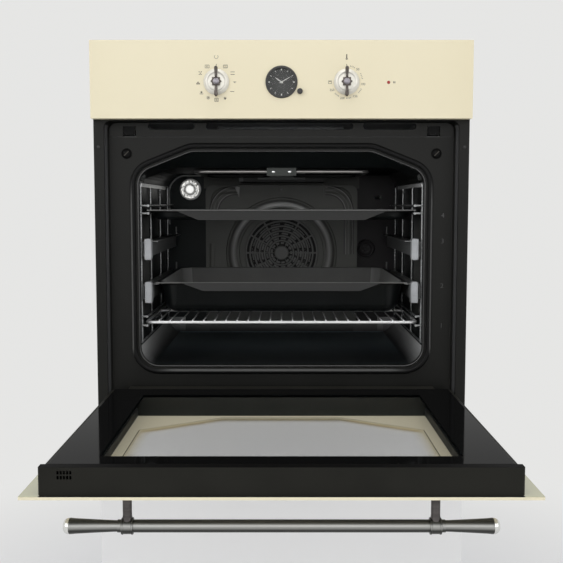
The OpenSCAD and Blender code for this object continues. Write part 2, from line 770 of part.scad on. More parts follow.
module bottom_element() {
    color("#5e5a58")
        level_tube([[-bottom_leg_x, cavity_out_y + 10], [-bottom_leg_x, bottom_rear_y],
            [-bottom_x, bottom_rear_y], [-bottom_x, bottom_front_y],
            [-bottom_leg_x, bottom_front_y], [-bottom_leg_x, bottom_mid_y],
            [bottom_leg_x, bottom_mid_y], [bottom_leg_x, bottom_front_y],
            [bottom_x, bottom_front_y], [bottom_x, bottom_rear_y], [bottom_leg_x, bottom_rear_y],
            [bottom_leg_x, cavity_out_y + 10]], bottom_z, tube_r);
}

// Oven lamp, cap and the cover under the ceiling
lens_y = cavity_back_y - 20;
module lamp_lens() {
    color("#f4f1e6", 0.5) difference() {
        union() {
            rod_y(lens_y + 12, cavity_back_y, lamp_x, lamp_z, lens_r);
            cone_y(lens_y, lens_y + 12, lamp_x, lamp_z, lens_r - 6, lens_r);
        }
        rod_y(lens_y + 2, cavity_back_y + 1, lamp_x, lamp_z, lens_r - 8);
    }
}
module lamp_socket() {
    color("#e8e4da") {
        rod_y(cavity_back_y - 4, cavity_out_y, lamp_x, lamp_z, lamp_hole_r - gap);
        rod_y(cavity_out_y, insulation_back_y + 8, lamp_x, lamp_z, lens_r - 1);
        rod_y(cavity_back_y - 15, cavity_back_y - 4, lamp_x, lamp_z, 7);
    }
}
cap_x = 174;
cap_z = 250;
module blank_cap() {
    color("#3a3a38") {
        cone_y(cavity_back_y - 7, cavity_back_y - 4, cap_x, cap_z, 16, 19);
        rod_y(cavity_back_y - 4, cavity_back_y, cap_x, cap_z, 19);
    }
}
flue_x = 84;
flue_low_z = cavity_top_z - 18;
leg_room = tube_r + 1;
module flue_cover() {
    color("#3d3d3b") difference() {
        block([-flue_x, grill_rear_y + 12, flue_low_z], [flue_x, cavity_back_y, cavity_top_z]);
        block([-flue_x + 2, grill_rear_y + 14, flue_low_z + 2], [flue_x - 2,
            cavity_back_y - 2, cavity_top_z + 1]);
        both_sides() block([grill_leg_x - leg_room, grill_rear_y + 11, grill_z - leg_room],
            [grill_leg_x + leg_room, cavity_back_y + 1, cavity_top_z + 1]);
    }
}

// Side racks of bent wire, drawn on the right and mirrored to the left
rack_front_y = 38;
rack_back_y = 385;
rack_near_y = 150;
rack_mid_y = 274;
rack_low_z = rack_wire_z - 27;
tray_guide_x = 218;
rack_guide_x = 222;
guide_step = 12.5;
rack_top_z = tray_wire_z + 49;
module guide_wire(x, z) {
    rod_y(rack_front_y - wire_r, rack_back_y + wire_r, x, z, wire_r);
    for (y = [rack_front_y, rack_back_y]) rod_x(x, upright_x, y, z, wire_r);
}
module rack_wires() {
    for (y = [rack_front_y, rack_near_y, rack_mid_y, rack_back_y])
        rod_z(rack_low_z, rack_top_z, upright_x, y, wire_r);
    for (z = [rack_top_z, rack_low_z])
        rod_y(rack_front_y - wire_r, rack_back_y + wire_r, upright_x, z, wire_r);
    for (z = [tray_wire_z, tray_wire_z + guide_step]) guide_wire(tray_guide_x, z);
    for (z = [rack_wire_z, rack_wire_z + guide_step + 2.5]) guide_wire(rack_guide_x, z);
    for (z = [rack_wire_z + 30, rack_top_z - 12])
        rod_x(upright_x - 1, cavity_x, rack_mid_y, z, wire_r + 1);
}
module rack_support_right() {
    color("#c4c7c9") rack_wires();
}
module rack_support_left() {
    color("#c4c7c9") mirror([1, 0, 0]) rack_wires();
}

// Telescopic runners: outer rail, middle member and slide, nested with side play
rail_y = rack_front_y + wire_r + gap;
rail_back_x = upright_x - wire_r - 0.1;
rail_t = 1.2;
outer_half_z = 12.2;
middle_half_z = outer_half_z - rail_t - gap;
slide_half_z = 17;
slide_x = 212;
middle_x = 217.6;
module outer_rail(z) {
    difference() {
        block([middle_x + 2.8, rail_y, z - outer_half_z], [rail_back_x, rail_y + rail_l,
            z + outer_half_z]);
        block([middle_x, rail_y - 1, z - outer_half_z + rail_t], [rail_back_x - rail_t,
            rail_y + rail_l + 1, z + outer_half_z - rail_t]);
    }
}
module middle_rail(z) {
    difference() {
        block([middle_x, rail_y + 1, z - middle_half_z], [rail_back_x - rail_t - gap,
            rail_y + rail_l - 1, z + middle_half_z]);
        block([middle_x + rail_t, rail_y, z - middle_half_z + rail_t], [rail_back_x,
            rail_y + rail_l, z + middle_half_z - rail_t]);
    }
}
tray_seat = 13.3;
module slide_rail(z) {
    difference() {
        block([slide_x, rail_y, z - middle_half_z], [middle_x - gap, rail_y + rail_l,
            z + middle_half_z]);
        block([slide_x + rail_t, rail_y - 1, z - middle_half_z + rail_t], [middle_x,
            rail_y + rail_l + 1, z + middle_half_z - rail_t]);
    }
    block([slide_x, rail_y - 16, z - slide_half_z], [slide_x + 11, rail_y - gap,
        z + slide_half_z]);
    block([slide_x, rail_y - 2, z - 6], [slide_x + 5, rail_y + 4, z + 6]);
    block([slide_x, rail_y, z], [slide_x + rail_t, rail_y + rail_l, z + tray_seat]);
    block([slide_x - 9, rail_y, z + tray_seat - rail_t], [slide_x + rail_t, rail_y + rail_l,
        z + tray_seat]);
    rod_z(z + tray_seat - 0.5, z + tray_seat + 15, slide_x - 1, rail_y + rail_l - 6, 1.6);
}
module runner_outer_rails() {
    color("#a7abae") both_sides() {
        outer_rail(low_runner_z);
        outer_rail(high_runner_z);
    }
}
module lower_runner_middles() {
    color("#8e9295") both_sides() middle_rail(low_runner_z);
}
module lower_runner_slides() {
    color("#c9ccce") both_sides() slide_rail(low_runner_z);
}
module upper_right_middle() {
    color("#8e9295") middle_rail(high_runner_z);
}
module upper_left_middle() {
    color("#8e9295") mirror([1, 0, 0]) middle_rail(high_runner_z);
}
module upper_right_slide() {
    color("#c9ccce") slide_rail(high_runner_z);
}
module upper_left_slide() {
    color("#c9ccce") mirror([1, 0, 0]) slide_rail(high_runner_z);
}

// Trays: a pressed tub with leaning walls under a flat rim, and a slanted lip at the front
tray_y = 30;
rim_t = 2.5;
rim_w = 5.5;
wall_lean = 0.18;
lip_slant_x = 44.5;
module level_plate(points, z0, z1) {
    translate([0, 0, z0]) linear_extrude(z1 - z0) polygon(points);
}
function tray_outline(w, d, r) = rounded_box(-w / 2 + d, tray_y + d, w / 2 - d,
    tray_y + tray_l - d, max(r - d, 4), 8);
module tub(w, low_z, top_z, bend, r, d) {
    foot = d + rim_w + (top_z - low_z - bend) * wall_lean;
    hull() {
        level_plate(tray_outline(w, d + rim_w, r), top_z - 0.02, top_z);
        level_plate(tray_outline(w, foot, r), low_z + bend, low_z + bend + 0.02);
        level_plate(tray_outline(w, foot + bend * 0.35, r), low_z + bend * 0.35,
            low_z + bend * 0.35 + 0.02);
        level_plate(tray_outline(w, foot + bend, r), low_z, low_z + 0.02);
    }
}
module tray(w, rim_low_z, h, lip_h, lip_out, bend, r) {
    rim_top_z = rim_low_z + rim_t;
    low_z = rim_top_z - h;
    lip_x = w / 2 - r;
    color("#3b3c3d") {
        difference() {
            union() {
                level_plate(tray_outline(w, 0, r), rim_low_z, rim_top_z);
                tub(w, low_z, rim_top_z, bend, r, 0);
            }
            tub(w, low_z + tray_t, rim_top_z + 0.02, bend, r, tray_t);
        }
        intersection() {
            rotate([90, 0, 90]) translate([0, 0, -w / 2]) linear_extrude(w)
                polygon([[tray_y + 1.5, rim_top_z], [tray_y, rim_top_z],
                    [tray_y - lip_out, rim_top_z - lip_h],
                    [tray_y - lip_out + 1.5, rim_top_z - lip_h],
                    [tray_y + 1.5, rim_top_z - 1.5]]);
            upright([[lip_x, rim_top_z + 1], [-lip_x, rim_top_z + 1],
                [-lip_x + lip_slant_x, rim_top_z - lip_h - 1],
                [lip_x - lip_slant_x, rim_top_z - lip_h - 1]], tray_y - 30, tray_y + 10);
        }
    }
}
module deep_tray() {
    tray(deep_w, low_runner_z + tray_seat, deep_h, 13, 8, 14, 38.5);
}
module shallow_tray() {
    tray(shallow_w, tray_wire_z + wire_r + gap, shallow_h, 15.5, 9, 7, 44.5);
}
rod_r = 2.5;
thin_r = 1.25;
rack_side_x = 224;
rack_y = 42;
rack_seam_y = 250;
rack_l = 343;
rack_brace_y = 210;
rack_rod_z = rack_wire_z + wire_r + gap + rod_r;
cross_wires = 2 * floor((rack_side_x - 8) / rack_pitch) + 1;
module wire_rack() {
    color("#c8cbcd") {
        level_tube([[rack_side_x, rack_seam_y], [rack_side_x, rack_y], [-rack_side_x, rack_y],
            [-rack_side_x, rack_y + rack_l], [rack_side_x, rack_y + rack_l],
            [rack_side_x, rack_seam_y - rod_r]], rack_rod_z, rod_r);
        rod_x(-rack_side_x, rack_side_x, rack_brace_y, rack_rod_z, rod_r);
        for (i = [0:cross_wires - 1])
            rod_y(rack_y - 2, rack_y + rack_l + 2, (i - (cross_wires - 1) / 2) * rack_pitch,
                rack_rod_z + rod_r + thin_r - 0.5, thin_r);
    }
}

// Cross-flow cooling fan above the cavity, blowing through the slots over the door
duct_low_z = insulation_top_z + 2;
duct_top_z = duct_low_z + 22;
duct_back_y = 170;
blower_y = 126;
blower_z = duct_top_z + 34;
blower_r = 24;
blower_x = 110;
module cooling_fan() {
    color("#b7bbbd") translate([0, blower_y, blower_z]) {
        both_sides() rod_x(blower_x - 6, blower_x - 4.5, 0, 0, blower_r);
        for (s = [0:15]) rotate([22.5 * s, 0, 0])
            block([-blower_x + 5, -0.5, blower_r - 8], [blower_x - 5, 0.5, blower_r - 0.5]);
        rod_x(-blower_x - 1, blower_x + 12, 0, 0, stem_r);
    }
}
module cooling_fan_housing() {
    color("#a9adb0") difference() {
        union() {
            block([-225, inner_back_y + 0.3, duct_low_z], [225, duct_back_y, duct_top_z]);
            block([-blower_x - 1.2, blower_y - 32, duct_top_z], [blower_x + 1.2, blower_y + 32,
                blower_z + 32]);
            rod_x(blower_x + 1.2, blower_x + 46, blower_y, blower_z, 24);
            block([-18, blower_y - 6, blower_z + 30], [18, blower_y + 6, casing_h - sheet_t]);
        }
        block([-223.8, inner_back_y - 1, duct_low_z + 1.2], [223.8, duct_back_y - 1.2,
            duct_top_z - 1.2]);
        block([-blower_x, blower_y - 30.8, duct_top_z - 3], [blower_x, blower_y + 30.8,
            blower_z + 30.8]);
        rod_x(-blower_x - 5, blower_x + 14, blower_y, blower_z, stem_r + run);
        for (i = [0:8]) block([-96 + 22 * i, blower_y + 25, blower_z - 20],
            [-84 + 22 * i, blower_y + 40, blower_z + 20]);
    }
}

// Door, drawn closed and turned open about its hinge axis
module opened() {
    translate([0, hinge_y, hinge_z]) rotate([90, 0, 0]) translate([0, -hinge_y, -hinge_z])
        children();
}
body_x = door_body_w / 2;
body_top_z = door_top_z - 3;
shell_t = 1.5;
pane_y = door_inner_y - glass_t;
pane_low_z = 36;
pane_top_z = body_top_z - 14;
rail_top_low_z = 424;
rail_low_top_z = 82;
rail_low_x = 246;
side_x = 268;
pane_x = body_x - 7;
end_x = body_x + 1.5;
spacer_x = window_x + 13.5;
spacer_t = 3;
middle_y = -4;
middle_t = 3;
post_x = post_pitch / 2;
stud_r = 3;
hinge_x = slot_arm_x;
module door_outer_glass() {
    color("#e9dfc0") opened() difference() {
        block([-panel_mid_x, panel_y, door_low_z], [panel_mid_x, glass_y, door_top_z]);
        both_sides() rod_y(panel_y - 1, glass_y + 1, post_x, handle_z, stud_r + 0.3);
    }
}
module door_middle_glass() {
    color("#dfe6e4", 0.3) opened()
        block([-spacer_x - 0.8, middle_y, rail_low_top_z], [spacer_x + 0.8, middle_y + middle_t,
            rail_top_low_z]);
}
module door_inner_glass() {
    color("#141414", 0.6) opened() block([-pane_x, pane_y, pane_low_z],
        [pane_x, door_inner_y, pane_top_z]);
}
module door_side_profiles() {
    color("#262624") opened() both_sides() difference() {
        block([side_x, glass_y, door_low_z], [body_x, pane_y, pane_top_z + gap]);
        block([side_x - 1, glass_y + shell_t, door_low_z - 1],
            [body_x - shell_t, pane_y - shell_t, body_top_z]);
    }
}
module hollow_rail(x, z0, z1) {
    difference() {
        block([-x, glass_y, z0], [x, pane_y, z1]);
        block([-x - 1, glass_y + shell_t, z0 + shell_t], [x + 1, pane_y - shell_t,
            z1 - shell_t]);
    }
}
chamfer = 2;
module door_rails() {
    color("#2a2a28") opened() {
        difference() {
            union() {
                hollow_rail(side_x - 0.2, rail_top_low_z, body_top_z);
                upright([[end_x, body_top_z - chamfer], [end_x - chamfer, body_top_z],
                    [chamfer - end_x, body_top_z], [-end_x, body_top_z - chamfer]],
                    glass_y, door_inner_y);
                block([-end_x, pane_y - 1, pane_top_z + gap], [end_x, door_inner_y,
                    body_top_z - chamfer]);
                both_sides() block([side_x - 1, glass_y, pane_top_z + gap], [end_x,
                    door_inner_y, body_top_z - chamfer]);
            }
            both_sides() {
                rod_y(glass_y - 1, glass_y + shell_t + 1, post_x, handle_z, stud_r + 0.1);
            }
            for (i = [0:4]) for (y = [1, 6.8])
                block([-254 + 3.6 * i, y, body_top_z - 3],
                    [-251.6 + 3.6 * i, y + 4.2, body_top_z + 1]);
        }
        hollow_rail(rail_low_x, 11, rail_low_top_z);
        block([-rail_low_x, pane_y, 14], [rail_low_x, door_inner_y, pane_low_z - gap]);
    }
}
rib_step = 8;
rib_d = 5;
ribs = floor((rail_top_low_z - rail_low_top_z - 8) / rib_step);
module glass_spacers() {
    color("#1b1b1a") opened() both_sides() difference() {
        union() {
            block([spacer_x, glass_y, rail_low_top_z], [spacer_x + spacer_t, pane_y,
                rail_top_low_z]);
            for (i = [0:ribs])
                block([spacer_x - rib_d, glass_y, rail_low_top_z + 3 + rib_step * i],
                    [spacer_x + 0.5, middle_y - 1, rail_low_top_z + 6 + rib_step * i]);
        }
        block([spacer_x - rib_d - 0.5, middle_y - 0.05, rail_low_top_z - 1], [spacer_x + 0.85,
            middle_y + middle_t + 0.05, rail_top_low_z + 1]);
    }
}

// Handle: bar with flared ends on two posts, whose studs pass through the glass
bar_y = panel_y - handle_reach;
cap_l = 8;
flare_l = 56;
flare_x = handle_l / 2 - cap_l;
flare_r = 9.4;
collar_r = 10;
collar_l = 13.5;
cap_neck = 2;
module handle_bar() {
    color("#5a5552") opened() {
        rod_x(-flare_x + flare_l, flare_x - flare_l, bar_y, handle_z, handle_r);
        both_sides() {
            translate([flare_x - flare_l, bar_y, handle_z]) rotate([0, 90, 0])
                cylinder(r1 = handle_r - 2.2, r2 = flare_r, h = flare_l);
            translate([flare_x, bar_y, handle_z]) rotate([0, 90, 0]) {
                cylinder(r = flare_r - cap_neck, h = 2);
                translate([0, 0, 2]) cylinder(r1 = flare_r, r2 = flare_r - 5, h = cap_l - 2);
            }
        }
    }
}
module handle_posts() {
    color("#4e4a47") opened() both_sides() {
        difference() {
            union() {
                rod_x(post_x - collar_l / 2, post_x + collar_l / 2, bar_y, handle_z, collar_r);
                rod_y(bar_y, panel_y, post_x, handle_z, 5.5);
                rod_y(panel_y - 3, panel_y, post_x, handle_z, 8.5);
            }
            rod_x(post_x - collar_l, post_x + collar_l, bar_y, handle_z, handle_r + 0.02);
        }
        rod_y(panel_y - 1, glass_y + 4, post_x, handle_z, stud_r);
    }
}

// Hinges: channels with pins in the door, arms fixed in the front frame
cheek_in = arm_t / 2 + 1;
cheek_t = 2.5;
channel_y = hinge_y - 6.8;
channel_low_z = hinge_z - 9;
channel_top_z = 180;
module hinge_bodies() {
    color("#8a8e91") opened() both_sides() {
        for (side = [-1, 1]) {
            x = hinge_x + side * (cheek_in + cheek_t / 2);
            block([x - cheek_t / 2, channel_y, channel_low_z], [x + cheek_t / 2, pane_y - 1,
                channel_top_z]);
        }
        block([hinge_x - cheek_in - cheek_t, channel_y - 2, channel_low_z],
            [hinge_x + cheek_in + cheek_t, channel_y, channel_top_z]);
        block([hinge_x - cheek_in - cheek_t, glass_y, 100],
            [hinge_x + cheek_in + cheek_t, channel_y - 2, 170]);
        rod_x(hinge_x - cheek_in - cheek_t - 1, hinge_x + cheek_in + cheek_t + 1, hinge_y,
            hinge_z, hinge_pin_r);
        rod_z(60, 160, hinge_x, hinge_y + 4, cheek_in - 0.6);
        for (z = [60, 160]) rod_x(hinge_x - cheek_in - 1, hinge_x + cheek_in + 1, hinge_y + 4, z,
            2);
    }
}
module hinge_arms() {
    color("#8a8e91") both_sides() difference() {
        union() {
            rod_x(hinge_x - arm_t / 2, hinge_x + arm_t / 2, hinge_y, hinge_z, 6.3);
            block([hinge_x - arm_t / 2, hinge_y, arm_low_z], [hinge_x + arm_t / 2,
                inner_back_y + 32, arm_top_z]);
            block([hinge_x - arm_t / 2, inner_back_y + 22, arm_low_z - 8],
                [hinge_x + arm_t / 2, inner_back_y + 32, arm_low_z]);
            block([hinge_x - 7, inner_back_y, arm_low_z - 6], [hinge_x + 7, inner_back_y + 3,
                arm_top_z + 6]);
        }
        rod_x(hinge_x - arm_t, hinge_x + arm_t, hinge_y, hinge_z, hinge_pin_r + run);
    }
}

control_panel();
control_bracket();
selector_switch();
thermostat();
clock_case();
clock_dial();
clock_glass();
indicator_lamp();
front_frame();
air_outlet_strip();
door_bumpers();
door_gasket();
cavity();
insulation();
side_panel_left();
side_panel_right();
top_cover();
back_cover();
base_plate();
fan_cover();
ring_heater();
fan_motor();
grill_element();
grill_holder();
bottom_element();
lamp_socket();
lamp_lens();
blank_cap();
flue_cover();
rack_support_left();
rack_support_right();
runner_outer_rails();
cooling_fan_housing();
terminal_block();
hinge_arms();
function_knob();
thermostat_knob();
clock_set_knob();
hour_hand();
minute_hand();
convection_fan();
cooling_fan();
lower_runner_middles();
lower_runner_slides();
upper_left_middle();
upper_left_slide();
upper_right_middle();
upper_right_slide();
deep_tray();
shallow_tray();
wire_rack();
door_outer_glass();
door_middle_glass();
door_inner_glass();
door_side_profiles();
door_rails();
glass_spacers();
handle_bar();
handle_posts();
hinge_bodies();
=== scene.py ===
# Built-in electric oven: looks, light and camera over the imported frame
import json
from math import cos, pi, radians, sin, tan

import bpy
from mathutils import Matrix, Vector


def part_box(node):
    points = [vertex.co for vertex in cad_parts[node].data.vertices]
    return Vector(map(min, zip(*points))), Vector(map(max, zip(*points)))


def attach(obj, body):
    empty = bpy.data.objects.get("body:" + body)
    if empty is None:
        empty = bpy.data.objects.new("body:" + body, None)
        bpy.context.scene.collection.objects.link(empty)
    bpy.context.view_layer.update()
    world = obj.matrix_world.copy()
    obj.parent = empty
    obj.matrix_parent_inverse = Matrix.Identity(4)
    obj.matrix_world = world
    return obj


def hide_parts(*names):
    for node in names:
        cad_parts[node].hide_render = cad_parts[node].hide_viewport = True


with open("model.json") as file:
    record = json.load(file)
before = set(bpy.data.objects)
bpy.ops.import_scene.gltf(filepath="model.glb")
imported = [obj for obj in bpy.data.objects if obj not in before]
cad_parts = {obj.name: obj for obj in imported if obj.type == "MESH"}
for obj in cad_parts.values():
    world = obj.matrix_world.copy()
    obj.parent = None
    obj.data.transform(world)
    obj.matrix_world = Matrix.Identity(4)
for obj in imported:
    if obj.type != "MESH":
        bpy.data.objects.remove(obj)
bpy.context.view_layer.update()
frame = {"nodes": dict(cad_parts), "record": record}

MM = 0.001
SIDES = ((-1, "left"), (1, "right"))

# Places in millimetres that several pieces and their finishes share
KNOB_X, KNOB_Z = 101.0, 531.0
FAN_Z = 243.0
RIB_X, RIB_Z, RIB_BEND = 137.0, 370.0, 43.5
LENS_X, LENS_Z = -187.0, 372.0
CAP_X, CAP_Z = 174.0, 250.0
BAR_Y, BAR_Z = -423.0, -30.0
# Radius of the fan grille's first ring, and the step to the next
RING_FIRST, RING_PITCH = 24.8, 9.8


# Shader sockets as numbers: an expression on values adds its Math nodes
class Value:
    def __init__(self, tree, socket):
        self.tree = tree
        self.socket = socket

    def math(self, operation, *others, flip=False, clamp=False):
        node = self.tree.nodes.new("ShaderNodeMath")
        node.operation = operation
        node.use_clamp = clamp
        terms = [self, *others]
        if flip:
            terms.reverse()
        for place, term in enumerate(terms):
            if isinstance(term, Value):
                self.tree.links.new(term.socket, node.inputs[place])
            else:
                node.inputs[place].default_value = term
        return Value(self.tree, node.outputs[0])

    def __add__(self, other): return self.math("ADD", other)
    def __radd__(self, other): return self.math("ADD", other, flip=True)
    def __sub__(self, other): return self.math("SUBTRACT", other)
    def __rsub__(self, other): return self.math("SUBTRACT", other, flip=True)
    def __mul__(self, other): return self.math("MULTIPLY", other)
    def __rmul__(self, other): return self.math("MULTIPLY", other, flip=True)
    def __truediv__(self, other): return self.math("DIVIDE", other)
    def __rtruediv__(self, other): return self.math("DIVIDE", other, flip=True)
    def __mod__(self, other): return self.math("FLOORED_MODULO", other)
    def __abs__(self): return self.math("ABSOLUTE")
    def __gt__(self, other): return self.math("GREATER_THAN", other)
    def __lt__(self, other): return self.math("LESS_THAN", other)
    def sin(self): return self.math("SINE")
    def sqrt(self): return self.math("SQRT")
    def clamped(self): return self.math("ADD", 0.0, clamp=True)
    def least(self, other): return self.math("MINIMUM", other)
    def most(self, other): return self.math("MAXIMUM", other)
    def angle(self, other): return self.math("ARCTAN2", other)

    def step(self, low, high):
        """0 below low, 1 above high, smooth between."""
        share = ((self - low) / (high - low)).clamped()
        return share * share * (3.0 - 2.0 * share)


def reach(a, b):
    """Distance from the middle of two values."""
    return (a * a + b * b).sqrt()


class Nodes:
    """A node tree that is filled through one method."""

    def __init__(self, tree):
        self.tree = tree
        tree.nodes.clear()

    def feed(self, socket, value):
        """Link a value or a socket, or write a number or a colour."""
        if isinstance(value, Value):
            value = value.socket
        if isinstance(value, bpy.types.NodeSocket):
            self.tree.links.new(value, socket)
        elif socket.type == "RGBA" and len(value) == 3:
            socket.default_value = (*value, 1.0)
        else:
            socket.default_value = value

    def node(self, kind, settings=None, **inputs):
        """Inputs go by name, or as i0, i1 and so on where a name stands twice."""
        made = self.tree.nodes.new("ShaderNode" + kind)
        for name, value in (settings or {}).items():
            setattr(made, name, value)
        for name, value in inputs.items():
            numbered = name[0] == "i" and name[1:].isdigit()
            self.feed(made.inputs[int(name[1:]) if numbered else name.replace("_", " ")], value)
        return made

    def read(self, made, name=0):
        return Value(self.tree, made.outputs[name])

    def mix(self, share, first, second):
        """Mix two colours; each is a triple or a socket."""
        return self.node("Mix", {"data_type": "RGBA"}, i0=share, i6=first, i7=second).outputs[2]


FINISHES = {}


class Finish(Nodes):
    """A material with its nodes, over the place on the object."""

    def __init__(self, name):
        self.name = name
        self.material = bpy.data.materials.new(name)
        self.material.use_nodes = True
        super().__init__(self.material.node_tree)
        self.place = self.node("TexCoord").outputs["Object"]
        apart = self.node("SeparateXYZ", Vector=self.place)
        self.x, self.y, self.z = [Value(self.tree, out) for out in apart.outputs]

    def noise(self, scale, detail=2.0, rough=0.5, stretch=None):
        where = self.place
        if stretch:
            where = self.node("Mapping", Vector=self.place, Scale=stretch).outputs[0]
        return self.read(self.node("TexNoise", Vector=where, Scale=scale, Detail=detail,
                                   Roughness=rough))

    def cells(self, scale):
        return self.node("TexVoronoi", Vector=self.place, Scale=scale)

    def layers(self, shade, *over):
        """Lay colours over a shade, each where its mask is up."""
        for mask, colour in over:
            shade = self.mix(mask, shade, colour)
        return shade

    def surface(self, shade, rough, relief=None, **inputs):
        """Close the finish; relief is a height, its depth in millimetres and its strength."""
        if relief:
            height, depth, strength = relief
            inputs["Normal"] = self.node("Bump", Height=height, Distance=depth * MM,
                                         Strength=strength).outputs[0]
        shader = self.node("BsdfPrincipled", Base_Color=shade, Roughness=rough, **inputs)
        self.node("OutputMaterial", Surface=shader.outputs[0])
        FINISHES[self.name] = self.material


def enamel(name):
    """A finish with the clouds and the fine grain that all enamel here has."""
    f = Finish(name)
    return f, f.noise(14.0, 3.0), f.noise(900.0, 2.0)


def cream_enamel():
    f = Finish("cream_enamel")
    cloud = f.noise(3.0, 1.0)
    peel = f.noise(520.0, 2.0)
    colour = f.mix(cloud.step(0.3, 0.7), (0.83, 0.745, 0.515), (0.85, 0.77, 0.545))
    f.surface(colour, 0.30 + cloud * 0.06, (peel, 0.06, 0.5), Coat_Weight=0.35, Coat_Roughness=0.12)


def satin_black(name, colour, rough, shine, speck=0.0):
    f, cloud, grain = enamel(name)
    shade = f.mix(cloud.step(0.25, 0.75), tuple(c * 0.8 for c in colour), colour)
    if speck:
        few = f.read(f.cells(1500.0), "Distance") < 0.16
        seen = f.noise(700.0, 0.0) > 0.56
        shade = f.mix(few * seen * speck, shade, (0.32, 0.32, 0.33))
    f.surface(shade, rough + cloud * 0.10 - 0.05, (grain, 0.03, 0.25), Specular_IOR_Level=shine)


def cavity_enamel():
    """Black enamel of the cavity; its rounded corners get painted highlights, its walls painted
    light and shade.
    """
    f, cloud, grain = enamel("cavity_enamel")
    wide = abs(f.x)
    floor, ceiling = 0.0770, 0.4005
    # Painted highlights on the rounded corners along the floor's sides and back, and on one at the
    # back wall's upper left
    side = (wide > 0.200) * (f.z < 0.1075) * ((f.z - 0.0775) / 0.030).clamped()
    rear = (f.y > 0.415) * (wide < 0.212) * (f.z < 0.0945) * ((f.z - floor) / 0.0175).clamped()
    bend = reach((wide - 0.197).most(0.0), (f.z - 0.366).most(0.0))
    corner = (bend > 0.0325) * (bend < 0.0358) * (f.y > 0.42) * (f.x < -0.165) * (f.z > 0.30)
    # Painted light: the back wall beside the fan cover is lighter than the side walls, more on the
    # right; above the cover it takes the cover's colour
    left = (f.x < -0.150) * (f.y > 0.40)
    right = (f.x > 0.150) * (f.y > 0.38)
    above = (f.y > 0.40) * (f.z > 0.374) * (wide < 0.160)
    # The floor is painted shade at the front and painted paler with depth, as painted light
    deep = f.y.step(0.06, 0.30)
    ground = f.mix(deep * deep, (0.013, 0.0150, 0.0155), (0.14, 0.18, 0.20))
    # Side walls: a painted highlight band near the front, and painted shade under the ceiling
    band = f.y.step(0.066, 0.072) * (1.0 - f.y.step(0.140, 0.150)) * (wide > 0.2320)
    band = band * f.z.step(0.14, 0.16) * (1.0 - f.z.step(0.350, 0.365))
    high = (wide > 0.2322) * f.z.step(0.300, 0.330) * (f.y < 0.41)
    shade = f.layers(
        f.mix(cloud.step(0.25, 0.75), (0.0075, 0.0088, 0.0090), (0.0092, 0.0108, 0.0110)),
        (left, (0.038, 0.044, 0.044)), (right, (0.063, 0.059, 0.061)),
        (above, (0.142, 0.144, 0.130)), (f.z < floor, ground), (band, (0.075, 0.075, 0.070)),
        (f.z > ceiling, (0.006, 0.008, 0.008)), (high, (0.0012, 0.0018, 0.0018)),
        (rear, (0.30, 0.30, 0.29)), (side, (0.72, 0.72, 0.71)),
        (corner * 0.9, (0.80, 0.80, 0.77)))
    f.surface(shade, 0.28 + cloud * 0.10 + (f.z > ceiling) * 0.3, (grain, 0.03, 0.25),
              Specular_IOR_Level=0.13)


def cover_enamel():
    """Enamel of the fan cover, with painted highlight lines along its pressed ribs' edges, painted
    shade at their feet and lighter middles.
    """
    f, cloud, grain = enamel("cover_enamel")
    wide = abs(f.x)
    # Distance from the ribs' middle line, which bends round the cover's upper corners
    out = (wide - (RIB_X - RIB_BEND) * MM).most(0.0)
    up = (f.z - (RIB_Z - RIB_BEND) * MM).most(0.0)
    off = abs(reach(out, up) - RIB_BEND * MM)
    here = (wide > 0.0885) * (f.z > 0.314 - (f.x > 0.0) * 0.074) * (off < 0.0115)
    line = here * ((abs(off - 0.0067) < 0.0009) + (off < 0.0007) * 0.5).clamped()
    foot = here * (abs(off - 0.0090) < 0.0012)
    shade = f.layers(
        f.mix(cloud.step(0.25, 0.75), (0.140, 0.143, 0.129), (0.166, 0.168, 0.152)),
        (here * (off < 0.0060) * 0.35, (0.17, 0.17, 0.16)), (foot * 0.6, (0.030, 0.030, 0.027)),
        (line * 0.8, (0.42, 0.42, 0.40)))
    f.surface(shade, 0.32 + cloud * 0.10, (grain, 0.03, 0.25), Specular_IOR_Level=0.3)


def ring_enamel():
    """Enamel of the cover's rolled ring, painted lighter towards its top, with a painted highlight
    on its crest and painted shade at its edges.
    """
    f = Finish("ring_enamel")
    cloud = f.noise(14.0, 3.0)
    up = f.z - FAN_Z * MM
    far = reach(f.x, up)
    share = (up / 0.098).step(0.2, 0.95)
    crest = (1.0 - abs(far - 0.0975) / 0.0065).clamped()
    edges = (far < 0.0892).most(far > 0.1088)
    shade = f.layers(f.mix(share, (0.066, 0.066, 0.058), (0.12, 0.12, 0.11)),
                     (crest * (0.25 + share * 0.75), (0.96, 0.96, 0.93)),
                     (edges, (0.012, 0.012, 0.011)))
    f.surface(shade, 0.30 + cloud * 0.08, (cloud, 0.1, 0.2), Specular_IOR_Level=0.5)


def blade_view():
    """What shows behind the fan cover's slots: painted shade in the gaps, and lighter blades."""
    f = Finish("blade_view")
    up = f.z - FAN_Z * MM
    far = reach(f.x, up)
    blade = ((up.angle(f.x) * 13.0 + far * 60.0).sin() > -0.5) * (far < 0.0595)
    spot = f.noise(420.0, 2.0)
    share = (blade * (0.6 + spot * 0.5) + (spot > 0.56) * 0.4 * (far < 0.066)).clamped()
    # Painted shade as a dark outline along each ring of the grille
    first, pitch = RING_FIRST * MM, RING_PITCH * MM
    ring = abs(((far - first) / pitch + 0.5) % 1.0 - 0.5) * pitch
    shade = f.mix(share * (ring > 0.0029), (0.006, 0.006, 0.006), (0.27, 0.27, 0.26))
    f.surface(shade, 0.45 + spot * 0.1, Specular_IOR_Level=0.2)


